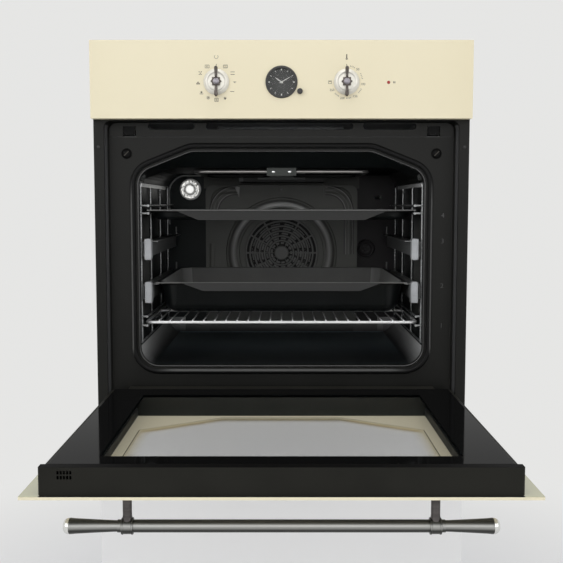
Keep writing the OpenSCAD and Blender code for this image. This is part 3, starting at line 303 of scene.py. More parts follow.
def handle_metal():
    """Pewter of the handle, with a painted highlight streak along its middle and painted shade on
    its lower side.
    """
    f = Finish("handle_metal")
    lines = f.noise(260.0, 3.0, 0.6, (0.03, 1.0, 1.0))
    up = f.z - BAR_Z * MM
    streak = 1.0 - (abs(up - 0.0014) / 0.0048).step(0.05, 1.0)
    shade = f.layers(f.mix(streak, (0.045, 0.046, 0.043), (0.37, 0.37, 0.355)),
                     (up < -0.0025, (0.040, 0.041, 0.038)),
                     (lines.step(0.3, 0.7) * 0.15, (0.16, 0.16, 0.15)))
    f.surface(shade, 0.30 + lines * 0.10, (lines, 0.04, 0.4), Metallic=0.8)


def grill_metal():
    """Sheathed tube of the grill, dark towards the back."""
    f = Finish("grill_metal")
    heat = f.noise(24.0, 4.0, 0.6)
    share = f.y.step(0.12, 0.20)
    shade = f.mix(share, (0.34, 0.33, 0.32), (0.020, 0.020, 0.020))
    f.surface(shade, 0.22 + heat * 0.2, (heat, 0.05, 0.5), Metallic=0.8 - share * 0.5)


def frame_step():
    """Side of the recess: painted pale near the front as a painted highlight, and painted shade
    where it meets the front frame.
    """
    f = Finish("frame_step")
    cloud = f.noise(14.0, 3.0)
    shade = f.mix(f.y.step(0.0105, 0.0135), (0.072, 0.072, 0.073), (0.010, 0.010, 0.009))
    shade = f.mix(f.y < 0.0012, shade, (0.008, 0.008, 0.008))
    f.surface(shade, 0.40 + cloud * 0.1, (cloud, 0.05, 0.2), Specular_IOR_Level=0.3)


def bright_metal(name, colour, rough, metallic=1.0, dark=0.75, streak=(1.0, 1.0, 1.0)):
    f = Finish(name)
    lines = f.noise(260.0, 3.0, 0.6, streak)
    cloud = f.noise(9.0, 3.0)
    shade = f.mix((lines * 0.6 + cloud * 0.4).step(0.3, 0.7), tuple(c * dark for c in colour),
                  colour)
    f.surface(shade, rough + lines * 0.12 - 0.06, (lines, 0.04, 0.4), Metallic=metallic)


def zinc_sheet():
    """Galvanised sheet: faint crystals of slightly different grey, and a few rubs."""
    f = Finish("zinc_sheet")
    tone = f.read(f.node("SeparateColor", Color=f.cells(150.0).outputs["Color"]))
    cloud = f.noise(5.0, 4.0)
    rub = f.noise(60.0, 6.0, 0.7, (1.0, 0.25, 1.0))
    shade = f.layers(f.mix(tone, (0.395, 0.405, 0.412), (0.465, 0.475, 0.482)),
                     (cloud.step(0.4, 0.8) * 0.30, (0.36, 0.37, 0.375)),
                     ((rub > 0.66) * 0.25, (0.55, 0.56, 0.56)))
    f.surface(shade, 0.40 + cloud * 0.14 + tone * 0.06, (tone, 0.04, 0.25), Metallic=0.75)


def seal_rubber():
    """Rubber of the door seal, with painted highlights along its outer flanks and its lower run."""
    f = Finish("seal_rubber")
    grain = f.noise(1100.0, 3.0)
    wide = abs(f.x)
    flank = (wide > 0.2408) * (wide < 0.2436) * f.z.step(0.09, 0.11) * (1.0 - f.z.step(0.34, 0.39))
    foot = (f.z > 0.0695) * (f.z < 0.0730) * (1.0 - wide.step(0.17, 0.21))
    shade = f.mix((flank + foot).clamped(), (0.0040, 0.0040, 0.0040), (0.085, 0.085, 0.082))
    f.surface(shade, 0.5 + grain * 0.1, (grain, 0.05, 0.4), Specular_IOR_Level=0.15)


def moulded(name, colour, rough, metallic=0.0):
    f = Finish(name)
    grain = f.noise(1100.0, 3.0)
    cloud = f.noise(30.0, 2.0)
    shade = f.mix(cloud.step(0.3, 0.7), tuple(c * 0.82 for c in colour), colour)
    f.surface(shade, rough + grain * 0.1 - 0.05, (grain, 0.08, 0.5), Metallic=metallic)


def heater_steel():
    f = Finish("heater_steel")
    heat = f.noise(24.0, 4.0, 0.6)
    fine = f.noise(400.0, 2.0)
    shade = f.mix(heat.step(0.3, 0.7), (0.085, 0.075, 0.07), (0.21, 0.185, 0.17))
    f.surface(shade, 0.42 + heat * 0.2, (fine, 0.05, 0.5), Metallic=0.8)


def mineral_wool():
    f = Finish("mineral_wool")
    fibre = f.noise(300.0, 8.0, 0.7, (1.0, 1.0, 6.0))
    lump = f.noise(22.0, 4.0)
    shade = f.mix(fibre.step(0.3, 0.7), (0.46, 0.40, 0.20), (0.70, 0.64, 0.40))
    f.surface(shade, 0.95, (fibre + lump * 2.0, 1.0, 0.8))


def clear_glass():
    f = Finish("clear_glass")
    haze = f.noise(40.0, 3.0)
    tint = (0.10, 0.13, 0.12)
    f.surface(f.mix(haze.step(0.3, 0.8), tint, tuple(c * 0.96 for c in tint)), 0.03 + haze * 0.02,
              Alpha=0.03, Coat_Weight=0.2, IOR=1.5)


def dial_grey():
    """Dark dial whose raised hour marks are silver."""
    f = Finish("dial_grey")
    raised = f.y < -0.02018
    grain = f.noise(1500.0, 2.0)
    ground = f.mix(grain, (0.030, 0.030, 0.028), (0.045, 0.044, 0.042))
    f.surface(f.mix(raised, ground, (0.62, 0.61, 0.58)), 0.45 + grain * 0.08, (grain, 0.03, 0.3),
              Metallic=raised * 0.6)


def lamp_glass():
    """Pressed glass of the oven lamp, lit from inside, with its ribs."""
    f = Finish("lamp_glass")
    x = f.x - LENS_X * MM
    z = f.z - LENS_Z * MM
    far = reach(x, z)
    rays = (z.angle(x) * 12.0).sin() * 0.5 + 0.5
    glow = 1.0 - far.step(0.006, 0.010)
    band = far.step(0.011, 0.0135) * (1.0 - far.step(0.0175, 0.0195))
    patch = f.noise(260.0, 1.0)
    lit = f.layers(f.mix((glow + band * 0.75).clamped(), (0.10, 0.10, 0.10), (1.0, 1.0, 0.98)),
                   (rays * far.step(0.007, 0.011) * 0.45, (0.10, 0.10, 0.10)),
                   ((patch < 0.42) * far.step(0.006, 0.010), (0.02, 0.02, 0.02)))
    f.surface((0.9, 0.88, 0.8), 0.12 + rays * 0.1, (rays, 0.6, 0.8), Emission_Color=lit,
              Emission_Strength=0.9)


def up_the_door(f):
    """Height up the closed door; the door is drawn open, so it runs along -Y."""
    return 0.021 - f.y


def cream_glass():
    """Glass with cream print on its back, given a painted glow inside the door body; the clear
    window has a dotted edge.
    """
    f = Finish("cream_glass")
    up = up_the_door(f)
    wide = abs(f.x)
    # The window's edges: a slanted one low, two sides, and a slanted one at the top
    low = up - (0.094 + (wide - 0.092).most(0.0) * 0.663)
    top = 0.412 - (wide - 0.150).most(0.0) * 0.40 - up
    inside = low.least(0.207 - wide).least(top)
    # Dots in a diagonal grid, smaller towards the clear middle
    pitch, zone = 0.0042, 0.022
    u = f.x / pitch
    v = up / pitch
    dot = reach((u + v) % 1.0 - 0.5, (u - v) % 1.0 - 0.5)
    dots = (dot < 0.50 - (inside / zone) * 0.48) * (inside > 0.0) * (inside < zone)
    printed = (inside < 0.0).most(dots)
    line = abs(inside + 0.0006) < 0.0006
    cloud = f.noise(3.0, 1.0)
    # The lip in front of the black door body is painted near black, leaving a thin cream line at
    # the glass's edge; the wings beside the body are painted shade
    body_y, body_x, back_z = -0.4466, 0.2752, 0.0130
    edge = (f.y < body_y) * (f.z > back_z) * (wide < body_x)
    wing = (f.z > back_z) * (wide > body_x)
    within = (f.z > back_z) * (f.y > body_y) * (wide < body_x)
    shade = f.layers(f.mix(cloud.step(0.3, 0.7), (0.86, 0.785, 0.565), (0.88, 0.805, 0.595)),
                     (edge, (0.008, 0.008, 0.007)), (wing, (0.52, 0.51, 0.31)),
                     (line, (0.05, 0.05, 0.045)))
    shade = f.mix(printed.most(line), (0.26, 0.26, 0.27), shade)
    # Painted light: the print within the door body is given a faint glow
    lit = f.mix(printed * within * (1.0 - line), (0.0, 0.0, 0.0), (0.86, 0.80, 0.60))
    f.surface(shade, 0.10 + cloud * 0.02, Emission_Color=lit, Emission_Strength=0.21,
              Alpha=0.20 + printed.most(line) * 0.80, Coat_Weight=0.5, IOR=1.5)


def dark_glass():
    """Glass with a black printed border round a clear window."""
    f = Finish("dark_glass")
    up = up_the_door(f)
    clear = (0.2145 - abs(f.x)).least(up - 0.0815).least(0.4225 - up) > 0.0
    smear = f.noise(16.0, 4.0)
    shade = f.mix(clear, (0.005, 0.005, 0.005), (0.05, 0.06, 0.06))
    f.surface(shade, 0.05 + smear.step(0.4, 0.9) * 0.06, Alpha=1.0 - clear * 0.965,
              Specular_IOR_Level=0.014)


for make in (cream_enamel, zinc_sheet, dial_grey, clear_glass, frame_step, handle_metal,
             seal_rubber, cavity_enamel, ring_enamel, blade_view, cover_enamel, grill_metal,
             mineral_wool, heater_steel, lamp_glass, cream_glass, dark_glass):
    make()
for name, colour, rough, *metallic in (
        ("switch_plastic", (0.78, 0.74, 0.65), 0.5),
        ("black_plastic", (0.022, 0.021, 0.020), 0.38),
        ("lamp_red", (0.36, 0.015, 0.012), 0.25),
        ("runner_end", (0.42, 0.43, 0.44), 0.42),
        ("ceramic_white", (0.76, 0.73, 0.66), 0.55),
        ("ink", (0.036, 0.030, 0.022), 0.55),
        ("hand_metal", (0.50, 0.50, 0.47), 0.3, 0.5)):
    moulded(name, colour, rough, *metallic)
for name, colour, rough, shine, *speck in (
        ("black_enamel", (0.0066, 0.0067, 0.0055), 0.42, 0.20),
        ("mouth_gloss", (0.012, 0.012, 0.012), 0.18, 0.7),
        ("black_rubber", (0.0032, 0.0032, 0.0032), 0.6, 0.10),
        # Painted highlight for the fan cover's left tab
        ("cover_edge", (0.48, 0.48, 0.46), 0.30, 0.5),
        ("grille_bar", (0.20, 0.20, 0.19), 0.34, 0.4),
        ("flue_enamel", (0.085, 0.088, 0.085), 0.40, 0.2, 0.3),
        ("flue_pale", (0.26, 0.265, 0.26), 0.40, 0.3, 0.3),
        # Trays: painted shade, lips, painted light and painted highlights
        ("tray_dark", (0.0045, 0.0055, 0.0055), 0.34, 0.15),
        ("tray_lip", (0.0150, 0.0152, 0.0146), 0.40, 0.25, 0.3),
        ("tray_side", (0.36, 0.36, 0.35), 0.36, 0.3, 0.3),
        ("tray_inner", (0.150, 0.150, 0.142), 0.36, 0.3, 0.3),
        ("tray_edge", (0.16, 0.16, 0.155), 0.26, 0.6),
        ("tray_enamel", (0.016, 0.017, 0.018), 0.26, 0.5, 0.5),
        ("socket_dark", (0.0045, 0.0045, 0.0045), 0.5, 0.1),
        # Near black for painted shadow lines and the near rail's upward faces; then a painted
        # highlight line
        ("seam_dark", (0.0015, 0.0015, 0.0015), 0.6, 0.05),
        ("frame_line", (0.055, 0.055, 0.053), 0.34, 0.4),
        ("door_black", (0.0205, 0.0202, 0.0168), 0.50, 0.06)):
    satin_black(name, colour, rough, shine, *speck)
for name, colour, rough, *others in (
        ("cap_silver", (0.80, 0.80, 0.78), 0.22, 1.0, 0.85),
        ("dark_steel", (0.050, 0.050, 0.050), 0.35),
        ("holder_steel", (0.034, 0.038, 0.035), 0.40, 0.5),
        # The wire rack's near-white stands in for reflections on chrome, a painted reflection; the
        # side racks' wire is a darker, painted-shade copy
        ("rack_wire", (0.94, 0.94, 0.93), 0.24, 0.35, 0.92),
        ("side_wire", (0.40, 0.41, 0.41), 0.26, 0.6, 0.6),
        ("motor_steel", (0.46, 0.47, 0.48), 0.42),
        ("chrome_wire", (0.74, 0.75, 0.76), 0.18),
        ("runner_steel", (0.25, 0.255, 0.255), 0.38, 0.45, 0.75, (0.05, 0.02, 1.0)),
        ("hinge_steel", (0.42, 0.43, 0.44), 0.4),
        ("knob_metal", (0.135, 0.118, 0.108), 0.34, 1.0, 0.35),
        ("knob_skirt", (0.86, 0.83, 0.74), 0.34, 0.35, 0.9),
        ("button_metal", (0.34, 0.32, 0.35), 0.36, 1.0, 0.7),
        ("pewter", (0.13, 0.12, 0.118), 0.30, 1.0, 0.6, (0.03, 1.0, 1.0))):
    bright_metal(name, colour, rough, *others)

slot_of = {row["node"]: row["material_slot"] for row in frame["record"]["subparts"]}
# The thermostat's probe shows in the cavity, as dark as the grill's holder
slot_of["thermostat"] = "holder_steel"
for node, thing in frame["nodes"].items():
    thing.data.materials.clear()
    thing.data.materials.append(FINISHES[slot_of[node]])
# The side racks' wire is painted darker than the wire rack's, as painted shade
for node in ("rack_support_left", "rack_support_right"):
    frame["nodes"][node].data.materials[0] = FINISHES["side_wire"]


# Modelling as by hand: each piece starts from a primitive and ends at the origin
def pick(made):
    """Select one piece alone."""
    bpy.ops.object.select_all(action="DESELECT")
    made.select_set(True)
    bpy.context.view_layer.objects.active = made
    return made


def named(made, name):
    made.name = made.data.name = name
    return made


def fix_place():
    bpy.ops.object.transform_apply(location=True, rotation=True, scale=True)


def edit():
    bpy.ops.object.mode_set(mode="EDIT")
    bpy.ops.mesh.select_all(action="SELECT")


def rest():
    bpy.ops.object.mode_set(mode="OBJECT")


def settle(made, smooth=32.0):
    """Place into the mesh, normals outward, soft shading up to an angle."""
    pick(made)
    fix_place()
    edit()
    bpy.ops.mesh.remove_doubles(threshold=0.002 * MM)
    bpy.ops.mesh.normals_make_consistent(inside=False)
    rest()
    bpy.ops.object.shade_smooth_by_angle(angle=radians(smooth))
    return made


def dress(made, finish, body="casing", *replaced, slot=None):
    """A piece's finish, the body that it rides on, its slot (not used) and the nodes it replaces.
    """
    made.data.materials.clear()
    made.data.materials.append(FINISHES[finish])
    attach(made, body)
    if replaced:
        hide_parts(*replaced)
    return made


def paint(made, finish, chosen):
    """Give the faces that a test on centre (mm) and normal picks another finish."""
    made.data.materials.append(FINISHES[finish])
    place = len(made.data.materials) - 1
    for face in made.data.polygons:
        if chosen(face.center / MM, face.normal):
            face.material_index = place


def joined(name, parts):
    pick(parts[0])
    for part in parts:
        part.select_set(True)
    bpy.ops.object.join()
    return named(bpy.context.object, name)


def path(points):
    """A chain of edges, extruded from one vertex through the points, left in edit mode."""
    bpy.ops.object.select_all(action="DESELECT")
    bpy.ops.mesh.primitive_plane_add(size=MM, location=points[0])
    made = bpy.context.object
    fix_place()
    edit()
    bpy.ops.mesh.merge(type="CENTER")
    for before, after in zip(points, points[1:]):
        bpy.ops.mesh.extrude_region_move(
            TRANSFORM_OT_translate={"value": Vector(after) - Vector(before)})
    bpy.ops.mesh.select_all(action="SELECT")
    return made


def turned(name, profile, centre, axis="Y", steps=48, smooth=32.0):
    """A lathe form: profile is (radius, place along the axis) in millimetres."""
    cx, cy, cz = centre
    spot = {"X": lambda r, along: (along, cy + r, cz), "Y": lambda r, along: (cx + r, along, cz),
            "Z": lambda r, along: (cx + r, cy, along)}[axis]
    made = path([[c * MM for c in spot(r, along)] for r, along in profile])
    bpy.ops.mesh.spin(steps=steps, angle=2 * pi, center=[c * MM for c in centre],
                      axis=[float(axis == one) for one in "XYZ"])
    rest()
    return settle(named(made, name), smooth)


def plate(name, outline, low, high, axis="Y", edge=0.0, segments=2):
    """An outline in millimetres, given thickness along Y or X, with its edges rounded."""
    def at(p, along):
        return Vector((along, *p) if axis == "X" else (p[0], along, p[1])) * MM
    made = path([at(p, low) for p in outline])
    bpy.ops.mesh.edge_face_add()
    bpy.ops.mesh.extrude_region_move(
        TRANSFORM_OT_translate={"value": at(outline[0], high) - at(outline[0], low)})
    rest()
    settle(named(made, name))
    return soften(made, edge, segments) if edge else made


def soften(made, width, segments=2, angle=30.0):
    """Round the sharp edges of a piece by a bevel."""
    pick(made)
    bevel = made.modifiers.new("rounding", "BEVEL")
    bevel.width = width * MM
    bevel.segments = segments
    bevel.limit_method = "ANGLE"
    bevel.angle_limit = radians(angle)
    bevel.harden_normals = False
    bpy.ops.object.modifier_apply(modifier="rounding")
    bpy.ops.object.shade_smooth_by_angle(angle=radians(40.0))
    flat = made.modifiers.new("flat_faces", "WEIGHTED_NORMAL")
    flat.keep_sharp = True
    bpy.ops.object.modifier_apply(modifier="flat_faces")
    return made


def arc(before, at, after, radius, steps):
    """Points that round the corner of a route at one of its points."""
    a = before - at
    b = after - at
    half = a.angle(b) / 2
    run = min(radius / tan(half), a.length * 0.48, b.length * 0.48)
    a.normalize()
    b.normalize()
    r = run * tan(half)
    middle = at + (a + b).normalized() * (r / sin(half))
    start = at + a * run - middle
    end = at + b * run - middle
    return [middle + start.slerp(end, i / steps) * r for i in range(steps + 1)]


def bent(points, radius):
    """Round the corners of a route of points."""
    way = [Vector(p) for p in points]
    out = [way[0]]
    for before, at, after in zip(way, way[1:], way[2:]):
        out += arc(before, at, after, radius, 5)
    return out + [way[-1]]


def wire(name, points, radius, bend=0.0, closed=False, sides=3):
    """Round wire along a route in millimetres."""
    route = bent(points, bend) if bend else [Vector(p) for p in points]
    bpy.ops.object.select_all(action="DESELECT")
    bpy.ops.curve.primitive_nurbs_path_add()
    curve = bpy.context.object.data
    curve.splines.clear()
    line = curve.splines.new("POLY")
    line.points.add(len(route) - 1)
    for point, place in zip(line.points, route):
        point.co = (*(place * MM), 1.0)
    line.use_cyclic_u = closed
    curve.bevel_depth = radius * MM
    curve.bevel_resolution = sides
    curve.use_fill_caps = True
    curve.twist_mode = "MINIMUM"
    bpy.ops.object.convert(target="MESH")
    return settle(named(bpy.context.object, name), 60.0)


def flat_wire(name, route, width, depth, y, **kind):
    """Wire along a route at y = 0, flattened to its depth and moved to its place."""
    made = pick(wire(name, route, width / 2, **kind))
    made.scale = (1.0, depth / width, 1.0)
    fix_place()
    made.location = (0.0, y * MM, 0.0)
    return settle(made, 60.0)


def numerals(text, x, y, z, height):
    """Plain numerals that face the front, raised a twentieth of a millimetre."""
    bpy.ops.object.select_all(action="DESELECT")
    bpy.ops.object.text_add(location=(0, 0, 0))
    letters = bpy.context.object.data
    letters.body = text
    letters.size = height * 1.38 * MM
    letters.align_x = letters.align_y = "CENTER"
    letters.extrude = 0.05 * MM
    letters.resolution_u = 3
    bpy.ops.object.convert(target="MESH")
    made = bpy.context.object
    made.rotation_euler = (pi / 2, 0.0, 0.0)
    made.location = (x * MM, y * MM, z * MM)
    return settle(made)


def copied(node, name, edge=0.0, angle=35.0, segments=2):
    """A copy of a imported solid, merged, with its flat faces joined and its edges rounded."""
    made = bpy.data.objects.new(name, frame["nodes"][node].data.copy())
    bpy.context.scene.collection.objects.link(made)
    pick(made)
    edit()
    bpy.ops.mesh.remove_doubles(threshold=0.005 * MM)
    bpy.ops.mesh.customdata_custom_splitnormals_clear()
    bpy.ops.mesh.dissolve_limited(angle_limit=radians(1.5))
    rest()
    return soften(made, edge, segments, angle) if edge else made


def rectangle(x0, z0, x1, z1):
    return [(x0, z0), (x1, z0), (x1, z1), (x0, z1)]


def rounded(x0, z0, x1, z1, r, steps=6):
    """A rectangle's outline with rounded corners, counter-clockwise."""
    out = []
    for cx, cz, start in ((x1 - r, z0 + r, -90), (x1 - r, z1 - r, 0), (x0 + r, z1 - r, 90),
                          (x0 + r, z0 + r, 180)):
        for i in range(steps + 1):
            a = radians(start + 90.0 * i / steps)
            out.append((cx + r * cos(a), cz + r * sin(a)))
    return out


def sided(side, profile):
    """A profile along X on one side of the middle."""
    return [(r, side * along) for r, along in profile]


# Knobs: cone skirt, star hub with a button, and the antique lever
def make_knob(side, which, body):
    x = side * KNOB_X
    middle = (x, 0, KNOB_Z)
    skirt = turned(which + "_knob_skirt", [
        (0, -22.7), (19.4, -22.7), (20.0, -23.1), (20.0, -23.9), (18.6, -25.2), (16.6, -27.2),
        (15.6, -27.9), (14.8, -28.0), (14.0, -27.6), (12.8, -27.0), (9.0, -27.5), (0, -27.6)],
        middle, steps=64)
    dress(skirt, "knob_skirt", body, body)
    points, tips = 8, (8.8, 6.5)
    star = [(x + tips[i % 2] * sin(pi * i / points), KNOB_Z + tips[i % 2] * cos(pi * i / points))
            for i in range(2 * points)]
    dress(plate(which + "_hub_star", star, -27.4, -32.6, edge=0.7), "knob_metal", body)
    button = turned(which + "_hub_button", [
        (0, -32.0), (4.9, -32.0), (4.9, -33.4), (4.4, -34.0), (3.2, -34.5), (0, -34.8)],
        middle, steps=32)
    dress(button, "button_metal", body)
    half = ((0.9, 22.9), (1.9, 22.4), (2.6, 20.8), (2.7, 18.0), (2.2, 14.0), (1.75, 10.0),
            (1.7, 5.6))
    for end, up in (("upper", 1), ("lower", -1)):
        outline = [(x + w, KNOB_Z + up * v) for w, v in half]
        outline += [(x - w, KNOB_Z + up * v) for w, v in reversed(half)]
        arm = plate(which + "_lever_" + end, outline, -28.3, -35.6, edge=1.1, segments=3)
        dress(arm, "knob_metal", body)
    groove = plate(which + "_lever_pointer",
                   rectangle(x - 0.55, KNOB_Z + 12.0, x + 0.55, KNOB_Z + 21.0), -35.5, -35.75)
    dress(groove, "ink", body, slot="knob_metal")


for (side, which), body in zip(SIDES, ("function_knob", "thermostat_knob")):
    make_knob(side, which, body)

# Printed marks and numbers on the panel
PANEL_Y = -22.0


def mark_bar(x, z, w, h, turn=0.0):
    w, h = w + 0.15, h + 0.15
    made = plate("mark", rectangle(-w / 2, -h / 2, w / 2, h / 2), PANEL_Y + 0.05, PANEL_Y - 0.1)
    made.rotation_euler = (0.0, radians(turn), 0.0)
    made.location = (x * MM, 0.0, z * MM)
    return settle(made)


def mark_ring(x, z, r, line=0.45, start=0.0, sweep=360.0):
    """A printed ring, or an arc of one."""
    turns = [radians(start + sweep * i / 20) for i in range(21)]
    route = [(x + r * sin(a), PANEL_Y, z + r * cos(a)) for a in turns]
    closed = sweep >= 360
    return wire("ring", route[:-1] if closed else route, line / 2, closed=closed, sides=1)


def polar(cx, r, turn):
    return cx + r * sin(radians(turn)), KNOB_Z + r * cos(radians(turn))


def box_bars(w, h, line=0.4):
    """Four bars round a rectangle."""
    return [(0, h / 2, w, line), (0, -h / 2, w, line), (-w / 2, 0, line, h), (w / 2, 0, line, h)]


# A mark is its distance and turn round the knob, and its bars as across, up, width, height, turn
LEFT_MARKS = (
    (27.5, 31, box_bars(6.4, 4.6) + [(0, 1, 4.4, 0.4), (0, -1, 4.4, 0.4)]),
    (28.5, 62, [(0, 1.9, 6.2, 0.6), (0, -1.9, 6.2, 0.6)]),
    (28.5, 90, [(0, 0, 4.4, 0.6), (0, -1.2, 1.2, 0.5)]),
    (28.5, 121, [(0, 0, 6.2, 0.6)]),
    (28.5, 152, [(0, 0, 4.2, 0.7, 20), (0, 0, 4.2, 0.7, 80), (0, 0, 4.2, 0.7, 140)]),
    (27.5, 180, box_bars(5.6, 5.0) + [(0, up, 3.6, 0.4) for up in (0, -1.3, 1.3)]),
    (27.5, 208, [(0, 0, 3.2, 0.6, 45), (0, 0, 3.2, 0.6, 135)]),
    (28.5, 235, [(0, -2, 5.6, 0.5)] + [(0, 0.6, 3.6, 0.5, turn) for turn in (0, 60, 120)]),
    (28.5, 267, [(0, -1.8, 5.6, 0.5), (-1.4, 0.2, 3.8, 0.5, -52), (1.4, 0.2, 3.8, 0.5, 52),
                 (0, -0.6, 2.6, 0.5)]),
    (28.5, 299, [(-1.8, 1.6, 1.2, 1.2), (1.6, 1.6, 1.2, 1.2), (0, -0.4, 1.2, 1.2),
                 (0, -2.2, 5.0, 0.5)]),
    (27.5, 329, box_bars(6.2, 4.4) + [(-1, 0, 0.5, 2.6), (1, 0, 0.5, 2.6)]),
    (26.2, 0, [(0, 0, 0.6, 2.4)]))
RIGHT_MARKS = (
    (25.7, 269, box_bars(4.6, 4.4) + [(0, 0.9, 3.0, 0.7)]),
    (26.0, 0, [(0, 0, 0.6, 2.2)]),
    (39.0, 0, [(0, 0, 1.3, 6.4)]),
    # Two strokes beside the indicator lamp
    (0, 0, [(72.9, -0.6, 0.9, 2.8), (74.9, -0.6, 0.9, 2.8)])) + tuple(
    (24.9, turn, [(0, 0, 0.5, 1.9, turn)]) for turn in (
        14, 19, 24, 29, 60, 66, 72, 78, 116, 121, 126, 131, 165, 170, 175, 180, 210, 215, 220,
        225))

ink = [mark_ring(*polar(-KNOB_X, 27.5, 208), 2.2),
       mark_ring(-KNOB_X, KNOB_Z + 38.5, 2.9, 0.55, 40, 290),
       mark_ring(KNOB_X, KNOB_Z + 35.4, 1.1, 0.8)]
for knob_x, marks in ((-KNOB_X, LEFT_MARKS), (KNOB_X, RIGHT_MARKS)):
    for out, turn, bars in marks:
        x, z = polar(knob_x, out, turn)
        ink += [mark_bar(x + across, z + up, *size) for across, up, *size in bars]
for number, turn in (("50", 42), ("100", 98), ("150", 149), ("200", 195), ("250", 241)):
    x, z = polar(KNOB_X, 25.7, turn)
    ink.append(numerals(number, x, PANEL_Y, z, 3.6))
dress(joined("panel_print", ink), "ink", slot="black_plastic")

# Clock: rounded bezel, and the small setting knob with its grip
bezel = turned("clock_bezel", [
    (21.4, -22.0), (24.4, -22.0), (25.0, -22.5), (24.7, -23.9), (23.8, -24.8), (22.6, -25.0),
    (21.7, -24.6), (21.3, -23.6), (21.4, -22.0)], (0, 0, KNOB_Z), steps=64)
dress(copied("clock_case", "clock_case_body"), "black_plastic")
dress(bezel, "black_plastic", "casing", "clock_case")
grip = turned("clock_setting_knob", [
    (0, -22.3), (3.4, -22.3), (3.6, -23.2), (4.3, -23.8), (4.4, -27.4), (4.0, -28.2), (3.0, -28.5),
    (0, -28.5)], (28.6, 0, 516.5), steps=32)
dress(grip, "black_plastic", "clock_set_knob", "clock_set_knob")

fascia = copied("control_panel", "control_panel_pressed", edge=0.7, angle=60.0)
dress(fascia, "cream_enamel", "casing", "control_panel")

# Slim tapered hands over the dial's hub
for node, length, tail, wide, y, turn in (("hour_hand", 11.8, 3.2, 0.85, -20.9, 305.0),
                                          ("minute_hand", 16.6, 3.6, 0.65, -21.7, 60.0)):
    u = (sin(radians(turn)), cos(radians(turn)))
    outline = [(u[0] * a + u[1] * b, KNOB_Z + u[1] * a - u[0] * b) for a, b in (
        (-tail, -wide * 0.6), (0.0, -wide), (length * 0.75, -wide * 0.8), (length, -0.2),
        (length, 0.2), (length * 0.75, wide * 0.8), (0.0, wide), (-tail, wide * 0.6))]
    slim = plate(node + "_blade", outline, y + 0.4, y)
    hub = turned(node + "_hub", [(0, y - 0.1), (1.5, y - 0.1), (1.7, y + 0.1), (1.7, y + 0.5),
                                 (0, y + 0.5)], (0, 0, KNOB_Z), steps=24)
    dress(joined(node + "_slim", [slim, hub]), "hand_metal", node, node)


# Front frame: rounded folds, with the recess's step painted lighter as a painted highlight, and the
# seal
def seal_line(inset):
    """The seal's outline moved in, in millimetres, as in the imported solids."""
    lean = radians(21.7)
    flat_x = 148.0 + (inset - inset / cos(lean)) / tan(lean)
    side_x = 244.0 - inset
    top = 439.4 - inset
    shoulder = top - (side_x - flat_x) * tan(lean)
    corners = [(side_x, 65.0 + inset, 44.0 - inset), (side_x, shoulder, 42.0 - inset),
               (flat_x, top, 50.0 - inset)]
    corners += [(-x, z, r) for x, z, r in reversed(corners)]
    points = [Vector((x, 0.0, z)) for x, z, r in corners]
    out = []
    for i, (x, z, r) in enumerate(corners):
        out += arc(points[i - 1], points[i], points[(i + 1) % 6], r, 8)
    return out


front = copied("front_frame", "front_frame_folded", edge=0.55, angle=50.0)
dress(front, "black_enamel", "casing", "front_frame")
paint(front, "frame_step", lambda c, n: 274.5 < abs(c.x) < 282.2 and -0.8 < c.y < 20.5
      and abs(n.x) > 0.8)

# A near-black line as painted shadow under the air outlet strip, and a painted highlight line below
# it
for z, high, finish in ((451.7, 1.3, "seam_dark"), (449.7, 0.9, "frame_line")):
    seam = plate("frame_" + finish, rectangle(-272.5, z - high / 2, 272.5, z + high / 2), 20.2,
                 19.9)
    dress(seam, finish, slot="black_enamel")
for name, inset, width, depth, y, finish, *replaced in (
        ("door_seal_bead", 4.0, 8.0, 6.2, 18.25, "seal_rubber", "door_gasket"),
        ("door_seal_foot", 4.0, 9.6, 2.6, 19.2, "seal_rubber"),
        ("mouth_rim", 12.4, 3.0, 3.0, 20.0, "mouth_gloss")):
    bead = flat_wire(name, seal_line(inset), width, depth, y, closed=True, sides=5)
    dress(bead, finish, "casing", *replaced)

for side, which in SIDES:
    x0, x1 = sorted((side * 235.5, side * 253.5))
    socket = plate("latch_socket_" + which, rounded(x0, 453.0, x1, 466.0, 1.2, 2), 20.2, 19.8)
    dress(socket, "socket_dark")
    x, z = side * 249.0, 423.0
    head = turned("bumper_" + which, [
        (0, 20.0), (8.4, 20.0), (8.4, 18.9), (7.9, 18.4), (7.2, 18.2), (6.4, 17.2), (5.4, 16.4),
        (3.2, 16.1), (0, 16.3)], (x, 0, z), steps=32)
    dress(head, "black_rubber", "casing", *(["door_bumpers"] if side < 0 else []))
    slot = plate("bumper_slots_" + which, [
        (x + 3.1, z + 4.1), (x - 4.1, z - 3.1), (x - 3.1, z - 4.1), (x + 4.1, z + 3.1)], 16.6, 16.0)
    dress(slot, "ink", slot="black_rubber")
    screw = turned("cabinet_screw_" + which, [
        (0, 0.4), (2.1, 0.4), (2.1, -0.2), (2.9, -0.2), (2.9, -0.8), (2.4, -1.5), (1.5, -1.8),
        (0.9, -1.8), (0.8, -1.0), (0, -0.9)], (side * 290.0, 0, 432.3), steps=24)
    dress(screw, "dark_steel")

# Level numbers raised on the frame
levels = joined("level_numbers", [
    numerals(text, 261.0, 19.95, z, 8.0) for text, z in (
        ("4", 323.6), ("3", 282.0), ("2", 209.4), ("1", 143.9))])
dress(levels, "mouth_gloss")


# Outer sheets: pressed stiffening beads and sheet screws
def sheet_bead(name, route, lean, at):
    """A bead pressed out of a sheet: a closed route of (along, up), with its place across."""
    points = [(at, a, b) if lean == "X" else (a, b, at) for a, b in route]
    looped = bent([points[-1], *points, points[0]], 16.0)[1:-1]
    dress(wire(name, looped, 3.0, closed=True), "zinc_sheet")


